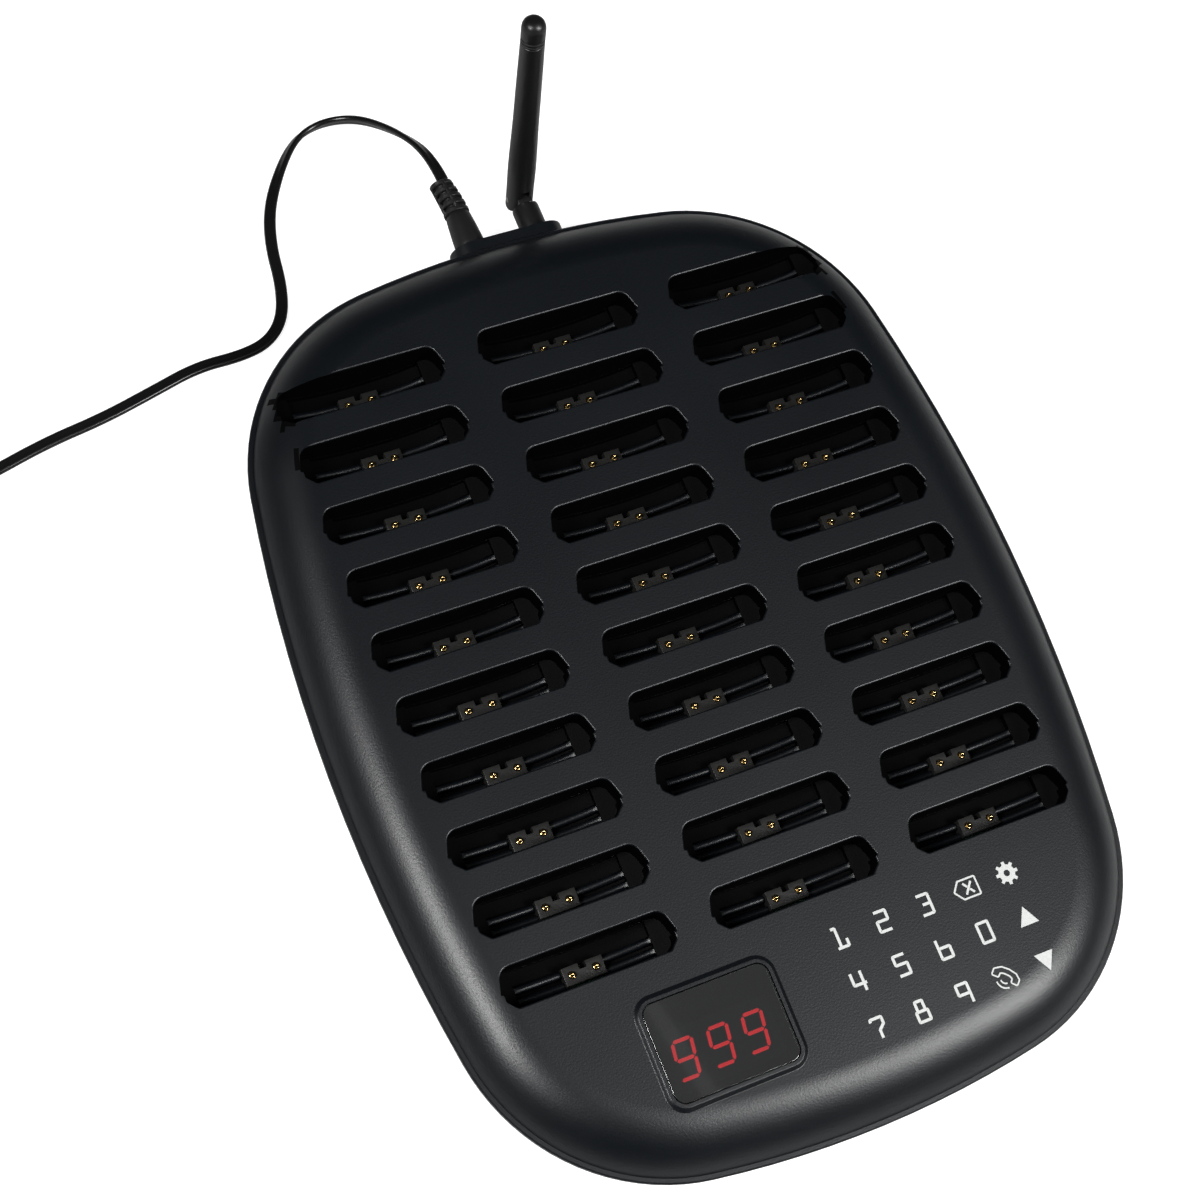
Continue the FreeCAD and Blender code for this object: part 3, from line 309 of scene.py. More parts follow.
def planOutline(inset, count=72):
    # points of the outline, from the middle of the right side, anticlockwise
    sideX = plan["halfWidth"] - plan["side"]
    endY = plan["halfLength"] - plan["end"]
    first = plan["end"] - plan["corner"]
    second = plan["side"] - plan["corner"]
    gap = Vector((sideX, -endY))
    reach = gap.length
    along = (first**2 - second**2 + reach**2) / (2 * reach)
    aside = math.sqrt(first**2 - along**2)
    way = gap.normalized()
    options = [Vector((0, endY)) + way * along + Vector((way.y, -way.x)) * aside * flip for flip in (1, -1)]
    cornerCentre = max(options, key=lambda spot: spot.x + spot.y)
    sideTurn = math.atan2(cornerCentre.y, cornerCentre.x - sideX)
    endTurn = math.atan2(cornerCentre.y - endY, cornerCentre.x)
    quarter = []
    arcs = (
        (Vector((sideX, 0)), plan["side"], 0, sideTurn, 0.24),
        (cornerCentre, plan["corner"], sideTurn, endTurn, 0.5),
        (Vector((0, endY)), plan["end"], endTurn, math.pi / 2, 0.26),
    )
    for centre, radius, start, finish, share in arcs:
        steps = round(count * share)
        for step in range(steps):
            angle = start + (finish - start) * step / steps
            quarter.append(centre + Vector((math.cos(angle), math.sin(angle))) * (radius - inset))
    top = Vector((0, plan["halfLength"] - inset))
    rightEdge = quarter[0]
    half = quarter + [top] + [Vector((-spot.x, spot.y)) for spot in reversed(quarter[1:])]
    points = half + [Vector((-rightEdge.x, 0))] + [Vector((spot.x, -spot.y)) for spot in reversed(half[1:])]
    return [(spot.x, spot.y) for spot in points]


# top cover: the rolled rim and flat top as one solid, the wells cut into it
cover = {"top": 46.0, "seam": 34.0, "rimRun": 20.0, "flangeStep": 1.75, "steps": 14, "core": 7.0, "under": 29.2}
activate(None)
topShell = plate("topShell", planOutline(cover["flangeStep"]), cover["seam"])
activate(topShell)
bpy.ops.object.mode_set(mode="EDIT")
bpy.ops.mesh.select_all(action="SELECT")
bpy.ops.mesh.inset(thickness=cover["core"] * mm, depth=0)
raised(cover["under"] - cover["seam"])
bpy.ops.object.mode_set(mode="OBJECT")
# close the rim from its outer loop with a face of its own, then step it in and up along the rolled edge
rimCount = len(planOutline(0))
mesh = bmesh.new()
mesh.from_mesh(topShell.data)
mesh.verts.ensure_lookup_table()
loop = [vertex for vertex in mesh.verts if any(edge.is_boundary for edge in vertex.link_edges)]
centre = place(0, 0, 0)
loop.sort(key=lambda vertex: math.atan2(vertex.co.y - centre.y, vertex.co.x - centre.x))
lid = mesh.faces.new(loop)
mesh.normal_update()
for face in mesh.faces:
    face.select_set(face == lid)
mesh.to_mesh(topShell.data)
mesh.free()
rimDrop = cover["top"] - cover["seam"]
rimRadius = (cover["rimRun"] ** 2 + rimDrop**2) / (2 * rimDrop)
sweep = math.acos(1 - rimDrop / rimRadius)
activate(topShell)
bpy.ops.object.mode_set(mode="EDIT")
bpy.ops.mesh.select_mode(type="FACE")
previous = (rimRadius * math.sin(sweep), rimRadius * math.cos(sweep))
for step in range(1, cover["steps"] + 1):
    angle = sweep * (1 - step / cover["steps"])
    current = (rimRadius * math.sin(angle), rimRadius * math.cos(angle))
    steppedIn(previous[0] - current[0], current[1] - previous[1])
    previous = current
outwards(topShell)
print("top cover's rim", len(topShell.data.vertices))

# display frame: a low rounded frame round the window
window = {"x": -41.6, "y": -120.4, "length": 43.5, "width": 32.5, "corner": 4.0, "thickness": 1.8, "gap": 0.15}
frameRaise = {"height": 1.2, "land": 1.0, "slope": 1.6}
recessBase = cover["top"] + frameRaise["height"] - window["thickness"] - window["gap"]


def roundedOutline(x, y, length, width, corner, steps=8):
    points = []
    for turn, (sideX, sideY) in enumerate(((1, 1), (-1, 1), (-1, -1), (1, -1))):
        for step in range(steps + 1):
            angle = math.pi / 2 * (turn + step / steps)
            points.append(
                (
                    x + sideX * (length / 2 - corner) + corner * math.cos(angle),
                    y + sideY * (width / 2 - corner) + corner * math.sin(angle),
                )
            )
    return points


grown = window["gap"] + frameRaise["land"] + frameRaise["slope"]
bezel = slab(
    "bezel",
    roundedOutline(
        window["x"], window["y"], window["length"] + 2 * grown, window["width"] + 2 * grown, window["corner"] + grown
    ),
    cover["top"] - 3,
    cover["top"],
)
activate(bezel)
bpy.ops.object.mode_set(mode="EDIT")
bpy.ops.mesh.select_mode(type="FACE")
bpy.ops.mesh.select_all(action="DESELECT")
bpy.ops.object.mode_set(mode="OBJECT")
for face in bezel.data.polygons:
    face.select = face.normal.z > 0.9
bpy.ops.object.mode_set(mode="EDIT")
for across, rise in ((0.25, 0.12), (0.35, 0.3), (0.4, 0.38), (0.35, 0.27), (0.25, 0.13)):
    steppedIn(across, rise)
outwards(bezel)
boolean(topShell, bezel, "UNION")

# one well's hollow: slot with a fine lip, curved floor, rails and the hole for the contact block
well = {
    "length": 59.7, "width": 13.2, "slant": 2.4, "step": 1.0, "ear": 0.4, "frontCorner": 3.0, "rearCorner": 4.0,
    "depth": 14.2, "radius": 110.0, "middleReach": 11.0, "endRadius": 52.0, "lip": 0.6,
    "columnPitch": 72.1, "rowPitch": 23.0, "middle": 19.0, "columns": 3, "rows": 10,
}
block = {
    "length": 14.0, "width": 6.1, "height": 8.2, "offset": -1.8, "notchLength": 2.5, "notchWidth": 2.1, "gap": 0.3,
}


def eased(points, radii, steps=5):
    # round the corners of a closed outline, each by its own radius
    made = []
    count = len(points)
    for i in range(count):
        corner = Vector(points[i])
        before = (Vector(points[i - 1]) - corner).normalized()
        after = (Vector(points[(i + 1) % count]) - corner).normalized()
        if not radii[i]:
            made.append(tuple(corner))
            continue
        half = before.angle(after) / 2
        reach = radii[i] / math.tan(half)
        middle = corner + (before + after).normalized() * (radii[i] / math.sin(half))
        first = corner + before * reach - middle
        turn = first.angle_signed(corner + after * reach - middle)
        for step in range(steps + 1):
            angle = -turn * step / steps
            made.append(tuple(middle + Matrix.Rotation(angle, 2) @ first))
    return made


def slotPoints(margin=0.0):
    # the slot seen from above, with slanted ears at its rear corners, grown evenly by a margin
    half = well["length"] / 2
    front, rear = -well["width"] / 2, well["width"] / 2
    shoulder = half - well["step"]
    ear = front + well["width"] * well["ear"]
    slope = Vector((rear - ear, well["slant"])).normalized()
    cut = margin * (math.sqrt(2) - 1)
    side = [
        (shoulder - well["frontCorner"] + cut, front - margin, 1.2 + margin),
        (shoulder + margin, front + well["frontCorner"] - cut, 1.2 + margin),
        (shoulder + margin, ear - margin, max(0.02, 0.3 - margin)),
        (half + margin * (1 + slope.y) / slope.x, ear - margin, 0.5 + margin),
        (half + (margin - slope.y * (rear + margin - ear)) / slope.x, rear + margin, well["rearCorner"] + margin),
    ]
    ring = side + [(-x, y, radius) for x, y, radius in reversed(side)]
    return eased([spot[:2] for spot in ring], [spot[2] for spot in ring])


floorHeight = cover["top"] - well["depth"]
hollow = slab("hollow", slotPoints(), floorHeight - 6, cover["top"] - well["lip"])
activate(hollow)
bpy.ops.object.mode_set(mode="EDIT")
bpy.ops.mesh.select_all(action="DESELECT")
bpy.ops.object.mode_set(mode="OBJECT")
for face in hollow.data.polygons:
    face.select = face.normal.z > 0.9
# the mouth widens by a quarter round, so that the lip catches the light
inner, innerHeight = slotPoints(), cover["top"] - well["lip"]
for step in range(1, 5):
    turn = math.pi / 2 * step / 4
    outer = slotPoints(well["lip"] * (1 - math.cos(turn)))
    outerHeight = cover["top"] - well["lip"] * (1 - math.sin(turn))
    bpy.ops.object.mode_set(mode="EDIT")
    raised(outerHeight - innerHeight)
    bpy.ops.object.mode_set(mode="OBJECT")
    for vertex in hollow.data.vertices:
        if vertex.select:
            nearest = min(range(len(inner)), key=lambda i: (vertex.co - place(*inner[i], outerHeight)).length)
            vertex.co = place(*outer[nearest], outerHeight)
    inner, innerHeight = outer, outerHeight
bpy.ops.object.mode_set(mode="EDIT")
raised(4)
bpy.ops.object.mode_set(mode="OBJECT")
outwards(hollow, 0.0000001)


def saddleHeight(x):
    # a wide curve in the middle that tightens towards both ends
    reach, turn = well["middleReach"], math.asin(well["middleReach"] / well["radius"])
    if abs(x) <= reach:
        return floorHeight + well["radius"] * (1 - math.cos(math.asin(x / well["radius"])))
    further = math.asin(math.sin(turn) + (abs(x) - reach) / well["endRadius"])
    middleRise = well["radius"] * (1 - math.cos(turn))
    return floorHeight + middleRise + well["endRadius"] * (math.cos(turn) - math.cos(further))


def saddleSolid(name, front, rear, deeper, half, upTo):
    # all that lies over a curved floor, seen from the side and pulled from front to rear
    side = []
    for step in range(37):
        x = half * (step / 18 - 1)
        side.append((x, saddleHeight(x) - deeper))
    side += [(half, upTo), (-half, upTo)]
    activate(None)
    bpy.ops.mesh.primitive_circle_add(vertices=len(side), radius=mm, fill_type="NGON")
    piece = named(name)
    for vertex, (x, z) in zip(piece.data.vertices, side):
        vertex.co = place(x, front, z)
    activate(piece)
    bpy.ops.object.mode_set(mode="EDIT")
    bpy.ops.mesh.select_all(action="SELECT")
    bpy.ops.mesh.extrude_region_move(TRANSFORM_OT_translate={"value": (0, (rear - front) * mm, 0)})
    return outwards(piece)


# two rounded rails carry a pager, with a groove between them and lower ground at the front and the rear
rails = {
    "front": (-4.9, -2.4), "rear": (-1.2, 1.3), "drop": 2.6, "round": 1.15, "ends": 6.2, "wall": 0.03, "under": 4.2,
}
overFloor = saddleSolid("overFloor", -well["width"], well["width"], 0, well["length"] / 2 + 0.2, cover["top"] + 6)
boolean(hollow, overFloor, "INTERSECT")
troughs = (
    (-well["width"] / 2 + rails["wall"], rails["front"][0]), (rails["front"][1], rails["rear"][0]),
    (rails["rear"][1], well["width"] / 2 - rails["wall"]),
)
troughHalf = well["length"] / 2 - rails["ends"]
for front, rear in troughs:
    trough = saddleSolid("trough", front, rear, rails["drop"], troughHalf, cover["top"] - rails["under"])
    boolean(hollow, trough, "UNION")
outwards(hollow)
activate(hollow)
bpy.ops.object.mode_set(mode="EDIT")
bpy.ops.mesh.select_mode(type="EDGE")
bpy.ops.mesh.select_all(action="DESELECT")
bpy.ops.object.mode_set(mode="OBJECT")
railEdges = rails["front"] + rails["rear"]


def onRail(spot):
    x, y, z = spot.x / mm, spot.y / mm - shiftBack, spot.z / mm
    if abs(x) > troughHalf - 0.1 or abs(z - saddleHeight(x)) > 0.05:
        return False
    return min(abs(y - edge) for edge in railEdges) < 0.01


chosen = 0
for edge in hollow.data.edges:
    first, second = (hollow.data.vertices[i].co for i in edge.vertices)
    edge.select = onRail(first) and onRail(second) and abs(first.y - second.y) < 0.00001
    chosen += edge.select
bpy.ops.object.mode_set(mode="EDIT")
bpy.ops.mesh.bevel(offset=rails["round"] * mm, segments=4, affect="EDGES")
bpy.ops.object.mode_set(mode="OBJECT")
print("rail edges rounded", chosen)
blockHole = roundedBox(
    "blockHole",
    (0, block["offset"], 35),
    (block["length"] + 2 * block["gap"], block["width"] + 2 * block["gap"], 14),
    0,
)
boolean(hollow, blockHole, "UNION")
outwards(hollow)
wells = [
    ((column - 1) * well["columnPitch"], well["middle"] - (row - 4.5) * well["rowPitch"])
    for row in range(well["rows"])
    for column in range(well["columns"])
]
hollows = [copied(hollow, Vector((x * mm, y * mm, 0))) for x, y in wells]
bpy.data.objects.remove(hollow, do_unlink=True)
boolean(topShell, joined(hollows, "hollows"), "DIFFERENCE")
recess = slab(
    "recess",
    roundedOutline(
        window["x"], window["y"], window["length"] + 2 * window["gap"], window["width"] + 2 * window["gap"],
        window["corner"] + window["gap"],
    ),
    recessBase,
    recessBase + 6,
)
boolean(topShell, recess, "DIFFERENCE")
module = {"x": -42.7, "y": -123.7, "length": 37.6, "width": 19.0, "height": 8.0, "gap": 0.3}
moduleHole = roundedBox(
    "moduleHole", (module["x"], module["y"], recessBase - 4),
    (module["length"] + 2 * module["gap"], module["width"] + 2 * module["gap"], 9), 0,
)
boolean(topShell, moduleHole, "DIFFERENCE")
smooth(topShell, 32)
modified(topShell, "WEIGHTED_NORMAL", keep_sharp=True, weight=60)
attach(topShell, "base")
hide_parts("top_cover", "cover_wells")
print("top cover cut", len(topShell.data.polygons))

# contact blocks: two raised halves, a notch at the rear, a dark ring round each pin
pins = {"pitch": 8.3, "low": 29.0, "blockTop": 34.2, "shift": 0.3}
blockLow = pins["blockTop"] - block["height"]
blockPiece = roundedBox(
    "contactBlock",
    (0, block["offset"] + pins["shift"], (blockLow + pins["blockTop"]) / 2),
    (block["length"], block["width"], block["height"]),
    0.25,
    2,
)
notch = roundedBox(
    "notch",
    (0, block["offset"] + pins["shift"] + block["width"] / 2, pins["blockTop"]),
    (block["notchLength"], 2 * block["notchWidth"], 2 * block["height"] + 4),
    0,
)
boolean(blockPiece, notch, "DIFFERENCE")
for side in (-1, 1):
    bore = turnedPiece(
        "bore",
        [(1.2, pins["blockTop"] - 6.2), (1.2, pins["blockTop"] - 0.2), (1.45, pins["blockTop"] + 0.1), (1.45, 36)],
        Matrix.Translation(place(side * pins["pitch"] / 2, block["offset"] + pins["shift"], 0)),
        24,
    )
    boolean(blockPiece, bore, "DIFFERENCE")
blocks = joined([copied(blockPiece, Vector((x * mm, y * mm, 0))) for x, y in wells], "contactBlocks")
bpy.data.objects.remove(blockPiece, do_unlink=True)
smooth(blocks, 30)
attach(blocks, "base")
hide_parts("contact_blocks")

# contact pins: domed gold plungers, a pair to each well
plunger = (
    (1.08, pins["low"] - pins["blockTop"]), (1.08, 0.06), (1.02, 0.18), (0.9, 0.24), (0.74, 0.26), (0.72, 0.4),
    (0.72, 1.35), (0.68, 1.6), (0.55, 1.83), (0.36, 1.98), (0.08, 2.05),
)
pinPair = []
for side in (-1, 1):
    pinPair.append(
        turnedPiece(
            "pin",
            [(radius, height + pins["blockTop"]) for radius, height in plunger],
            Matrix.Translation(place(side * pins["pitch"] / 2, block["offset"] + pins["shift"], 0)),
            24,
        )
    )
pinPair = joined(pinPair, "pinPair")
for number, (x, y) in enumerate(wells, 1):
    pair = copied(pinPair, Vector((x * mm, y * mm, 0)))
    pair.name = f"goldPins{number:02d}"
    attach(pair, f"contact_pins_{number:02d}")
    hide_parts(f"contact_pins_{number:02d}")
bpy.data.objects.remove(pinPair, do_unlink=True)
print("contacts made")

# display window, its dark backing and the three lit digits
glass = slab(
    "displayGlass",
    roundedOutline(window["x"], window["y"], window["length"], window["width"], window["corner"]),
    recessBase,
    recessBase + window["thickness"],
)
modified(glass, "BEVEL", width=0.35 * mm, segments=3, limit_method="ANGLE")
smooth(glass, 40)
modified(glass, "WEIGHTED_NORMAL", keep_sharp=True, weight=90)
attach(glass, "base")
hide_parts("display_window")
digits = {
    "x": (-54.8, -42.7, -30.7), "y": module["y"], "height": 11.8, "width": 6.4, "stroke": 1.15, "slant": 8.0,
    "gap": 0.22,
}
digitTop = recessBase - 0.35


def segmentPiece(name, start, end, x):
    # one lit bar with pointed ends, slanted as the digits are
    start, end = Vector(start), Vector(end)
    along = (end - start).normalized()
    aside = Vector((-along.y, along.x)) * digits["stroke"] / 2
    start, end = start + along * digits["gap"], end - along * digits["gap"]
    tuck = along * digits["stroke"] / 2
    ring = [start, start + tuck - aside, end - tuck - aside, end, end - tuck + aside, start + tuck + aside]
    lean = math.tan(math.radians(digits["slant"]))
    points = [(x + spot.x + spot.y * lean, digits["y"] + spot.y) for spot in ring]
    return slab(name, points, digitTop - 0.12, digitTop)


halfWide = digits["width"] / 2
halfHigh = digits["height"] / 2
bars = {
    "top": ((-halfWide, halfHigh), (halfWide, halfHigh)),
    "upperRight": ((halfWide, halfHigh), (halfWide, 0)),
    "lowerRight": ((halfWide, 0), (halfWide, -halfHigh)),
    "bottom": ((halfWide, -halfHigh), (-halfWide, -halfHigh)),
    "upperLeft": ((-halfWide, halfHigh), (-halfWide, 0)),
    "middle": ((-halfWide, 0), (halfWide, 0)),
    "lowerLeft": ((-halfWide, 0), (-halfWide, -halfHigh)),
}
lit = []
unlit = []
for x in digits["x"]:
    for barName, (start, end) in bars.items():
        (unlit if barName == "lowerLeft" else lit).append(segmentPiece("bar", start, end, x))
lit = joined(lit, "litDigits")
unlit = joined(unlit, "unlitBars")
backing = roundedBox(
    "displayBacking", (module["x"], module["y"], digitTop - module["height"] / 2 - 0.1),
    (module["length"], module["width"], module["height"]), 0.3,
)
for piece in (lit, unlit, backing):
    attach(piece, "base")
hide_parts("display_module")
print("display made")

# printed signs of the touch keys, drawn as flat strokes
keys = {
    "columns": (6.7, 22.1, 37.7, 52.9, 68.3), "rows": (-106.2, -121.3, -136.9), "high": 7.4, "wide": 4.8,
    "stroke": 0.95, "lift": 0.05, "sunk": 0.03, "round": 0.35,
}


def strokePiece(name, spots, closed=False, width=None, corner=None):
    # a flat band along a line with eased corners: half a width to each side, then pulled up to the ink's height
    width = width or keys["stroke"]
    corner = keys["round"] if corner is None else corner
    radii = [corner] * len(spots)
    if not closed:
        radii[0] = radii[-1] = 0
    line = [Vector(spot) for spot in (eased(spots, radii, 4) if len(spots) > 2 else spots)]
    leftSide, rightSide = [], []
    count = len(line)
    for i, spot in enumerate(line):
        before = line[i] - line[i - 1] if i or closed else line[1] - line[0]
        after = line[(i + 1) % count] - line[i] if i < count - 1 or closed else before
        before, after = before.normalized(), after.normalized()
        middle = (before + after).normalized()
        aside = Vector((-middle.y, middle.x)) * (width / 2 / max(0.4, middle.dot(after)))
        leftSide.append(spot + aside)
        rightSide.append(spot - aside)
    mesh = bpy.data.meshes.new(name)
    piece = bpy.data.objects.new(name, mesh)
    bpy.context.collection.objects.link(piece)
    vertices = [(*spot, 0) for spot in leftSide + rightSide]
    faces = [
        (i, (i + 1) % count, count + (i + 1) % count, count + i) for i in range(count if closed else count - 1)
    ]
    mesh.from_pydata(vertices, [], faces)
    return piece


w, h = keys["wide"] / 2 - 0.4, keys["high"] / 2 - 0.45
signStrokes = {
    "1": [([(-2.2, h), (-0.8, h), (-0.8, -h + 0.48)], False), ([(-2.0, -h), (1.9, -h), (1.9, -0.9)], False)],
    "2": [([(-w, h), (w, h), (w, 0.1), (-w, 0.1), (-w, -h), (w + 0.1, -h)], False)],
    "3": [([(-w, h), (w, h), (w, -h), (-w, -h)], False), ([(-w + 1.2, 0.1), (w - 0.48, 0.1)], False)],
    "4": [
        ([(-w, h), (-w, -0.8), (w - 1.1, -0.8)], False), ([(w - 0.6, h), (w - 0.6, -h)], False),
        ([(w - 0.12, -0.8), (w + 0.4, -0.8)], False),
    ],
    "5": [([(w, h), (-w, h), (-w, 0.3), (w, 0.3), (w, -h), (-w, -h)], False)],
    "6": [([(-w, h), (-w, -h), (w, -h), (w, 0.3), (-w + 0.48, 0.3)], False)],
    "7": [([(-w, h - 0.9), (-w, h), (w, h), (w, 1.0), (0.1, -0.6), (0.1, -h)], False)],
    "8": [
        ([(-w, 0), (-w, -h), (w, -h), (w, 0)], True),
        ([(-w + 0.7, 0.48), (-w + 0.7, h), (w - 0.7, h), (w - 0.7, 0.48)], False),
    ],
    "9": [([(w, -h), (w, h), (-w, h), (-w, -0.1), (w - 0.48, -0.1)], False)],
    "0": [([(-w, -h), (w, -h), (w, h), (-w, h)], True)],
}


def flatFill(name, points):
    piece = plate(name, points, 0)
    piece.data.transform(Matrix.Translation(-place(0, 0, 0)))
    return piece


def signPieces(sign):
    made = []
    if sign in signStrokes:
        made += [strokePiece(sign, spots, closed) for spots, closed in signStrokes[sign]]
    elif sign == "erase":
        outline = [(-4.3, 0), (-1.9, -3.1), (4.3, -3.1), (4.3, 3.1), (-1.9, 3.1)]
        made.append(strokePiece(sign, outline, True, 0.6, 0.4))
        made.append(strokePiece(sign, [(-0.5, -1.9), (2.5, 1.9)], False, 0.75))
        for flip in (1, -1):
            stroke = [(1 - 1.5 * flip, 1.9 * flip), (1 - 0.32 * flip, 0.4 * flip)]
            made.append(strokePiece(sign, stroke, False, 0.75))
    elif sign == "gear":
        teeth = []
        for i in range(8):
            for share, radius in ((-0.26, 2.9), (-0.17, 3.9), (0.17, 3.9), (0.26, 2.9)):
                angle = 2 * math.pi * (i + share) / 8
                teeth.append((radius * math.cos(angle), radius * math.sin(angle)))
        count = len(teeth)
        inner = [(1.1 * math.cos(math.atan2(y, x)), 1.1 * math.sin(math.atan2(y, x))) for x, y in teeth]
        mesh = bpy.data.meshes.new(sign)
        mesh.from_pydata(
            [(*spot, 0) for spot in teeth + inner], [],
            [(i, (i + 1) % count, count + (i + 1) % count, count + i) for i in range(count)],
        )
        gear = bpy.data.objects.new(sign, mesh)
        bpy.context.collection.objects.link(gear)
        made.append(gear)
    elif sign == "up":
        made.append(flatFill(sign, [(-3.4, -2.9), (3.4, -2.9), (0, 3.3)]))
    elif sign == "down":
        made.append(flatFill(sign, [(-3.4, 2.9), (0, -3.3), (3.4, 2.9)]))
    elif sign == "call":
        handset = [
            (-3.6, 2.2), (-2.2, 3.6), (-0.8, 2.0), (-1.7, 1.0), (-1.2, 0.0), (0.0, -1.2), (1.0, -1.7), (2.0, -0.8),
            (3.4, -2.3), (2.1, -3.6), (0.2, -3.4), (-1.7, -2.0), (-3.2, -0.2),
        ]
        made.append(strokePiece(sign, [(-1.12 * y, -1.12 * x) for x, y in handset], True, 0.5, 0.5))
        for radius in (1.7, 3.2):
            arc = [
                (-0.2 - radius * math.cos(math.radians(angle)), -0.2 - radius * math.sin(math.radians(angle)))
                for angle in range(0, 91, 10)
            ]
            made.append(strokePiece(sign, arc, False, 0.5, 0))
    return made


signRows = (("1", "2", "3", "erase", "gear"), ("4", "5", "6", "0", "up"), ("7", "8", "9", "call", "down"))
ink = []
for rowY, row in zip(keys["rows"], signRows):
    for columnX, sign in zip(keys["columns"], row):
        # the two arrows are plates, made in metres already
        scale = 1 if sign in ("up", "down") else mm
        for piece in signPieces(sign):
            signPlace = place(columnX, rowY, cover["top"] - keys["sunk"])
            piece.data.transform(Matrix.Translation(signPlace) @ Matrix.Scale(scale, 4))
            ink.append(piece)
ink = joined(ink, "keySigns")
activate(ink)
bpy.ops.object.mode_set(mode="EDIT")
bpy.ops.mesh.select_all(action="SELECT")
raised(keys["lift"] + keys["sunk"])
outwards(ink, 0.000001)
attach(ink, "base")
print("signs printed")

# power plug: a tapered moulding and a slotted relief that bends a little towards the cord
plugAxis = {"x": -11.5, "z": 25.5}
lying = Matrix.Translation(place(plugAxis["x"], 0, plugAxis["z"])) @ Matrix.Rotation(math.radians(-90), 4, "X")
plugFace = 169.3
plug = turnedPiece(
    "powerPlug",
    [
        (5.0, plugFace), (5.5, plugFace + 0.25), (5.62, plugFace + 0.8), (5.55, plugFace + 2.2), (5.1, plugFace + 8.5),
        (4.65, plugFace + 13.0), (4.4, plugFace + 14.4), (3.9, plugFace + 15.0),
    ],
    lying,
)
# the relief is a stack of rings on a thin core, with four ribs between the columns of slots
strain = {"start": 14.7, "rings": 5, "pitch": 2.95, "radius": 4.75, "taper": 0.12, "core": 0.72, "ribs": 3.8}
reliefRings = []
for i in range(strain["rings"]):
    low = plugFace + strain["start"] + i * strain["pitch"]
    radius = strain["radius"] - strain["taper"] * i
    core = radius * strain["core"]
    reliefRings += [
        (radius - 0.2, low), (radius, low + 0.2), (radius, low + 1.4), (radius - 0.2, low + 1.6),
        (core, low + 1.65), (core, low + 2.9),
    ]
reliefRings = reliefRings[:-2]
relief = turnedPiece("relief", reliefRings, Matrix.Identity(4), 40)
ribStations = [(0.7, 14.8), (0.8, 15.0), (0.62, 27.6), (0.5, 27.9)]
for turn in (0, 90, 180, 270):
    rib = turnedPiece(
        "rib",
        [(radius, plugFace + along) for radius, along in ribStations],
        Matrix.Rotation(math.radians(turn), 4, "Z") @ Matrix.Translation((strain["ribs"] * mm, 0, 0)),
        16,
    )
    relief = joined([relief, rib], "relief")
bendStart = (plugFace + strain["start"]) * mm
for vertex in relief.data.vertices:
    beyond = max(0.0, vertex.co.z - bendStart)
    vertex.co.x -= beyond**2 * 8.0
relief.data.transform(lying)
plug = joined([plug, relief], "powerPlug")
smooth(plug, 40)
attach(plug, "base")
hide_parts("power_plug")

# antenna: knuckle, forked whip with a faint waist, and a domed cap
hingePlace = (13.2, 185.2, 25.5)
hinge = place(*hingePlace)
lean = Matrix.Rotation(math.radians(-3.0), 4, "Y")
knuckle = turnedPiece(
    "antennaKnuckle",
    [(4.6, -15.9), (4.9, -15.6), (4.95, -15.0), (4.95, -6.2), (4.85, -5.5), (4.5, -5.25)],
    Matrix.Translation(hinge) @ Matrix.Rotation(math.radians(-90), 4, "X"),
)
tongue = turnedPiece(
    "tongue", [(4.5, -2.5), (4.9, -2.3), (4.9, 2.3), (4.5, 2.5)],
    Matrix.Translation(hinge) @ Matrix.Rotation(math.radians(90), 4, "Y"),
)
web = roundedBox("web", (hingePlace[0], hingePlace[1] - 3.0, hingePlace[2]), (4.98, 6.0, 9.6), 0.2)
knuckle = joined([knuckle, tongue, web], "antennaKnuckle")
knuckle.data.transform(Matrix.Translation(hinge) @ lean @ Matrix.Translation(-hinge))
smooth(knuckle, 40)
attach(knuckle, "antenna_turn")
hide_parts("antenna_knuckle")

whipPlace = Matrix.Translation(hinge) @ lean @ Matrix.Rotation(math.radians(-5.8), 4, "X")
whip = turnedPiece(
    "antennaWhip",
    [
        (4.7, -4.9), (4.93, -4.6), (4.95, 7.0), (4.99, 10.0), (5.04, 15.0), (5.05, 18.0), (5.0, 22.0), (4.88, 29.0),
        (4.72, 37.0), (4.58, 45.0), (4.55, 48.0), (4.5, 56.0), (4.4, 66.0), (4.28, 76.0), (4.17, 85.0), (4.1, 86.3),
        (3.9, 86.5),
    ],
    Matrix.Identity(4),
)
# the foot is rounded about the hinge and slotted for the tongue; the slot narrows towards its top
fork = {"round": 4.85, "across": 12.4, "length": 92.0, "slotLow": 2.65, "slotHigh": 1.5, "slotTop": 8.2, "room": 5.35}
turnedAcross = Matrix.Rotation(math.radians(90), 4, "Y")
footRound = turnedPiece("footRound", [(fork["round"], -6.0), (fork["round"], 6.0)], turnedAcross, 64)
activate(None)
bpy.ops.mesh.primitive_cube_add(size=1, location=(0, 0, fork["length"] / 2 * mm))
overFoot = named("overFoot")
overFoot.scale = Vector((fork["across"], fork["across"], fork["length"])) * mm
settle(overFoot)
boolean(footRound, overFoot, "UNION")
boolean(whip, footRound, "INTERSECT")
activate(None)
bpy.ops.mesh.primitive_cube_add(size=1, location=(0, 0, 0))
forkSlot = named("forkSlot")
for vertex in forkSlot.data.vertices:
    high = vertex.co.z > 0
    x = math.copysign(fork["slotHigh"] if high else fork["slotLow"], vertex.co.x)
    vertex.co = Vector((x, math.copysign(8, vertex.co.y), fork["slotTop"] if high else -8)) * mm
boolean(whip, forkSlot, "DIFFERENCE")
roomEnds = [(fork["room"], -fork["slotLow"]), (fork["room"], fork["slotLow"])]
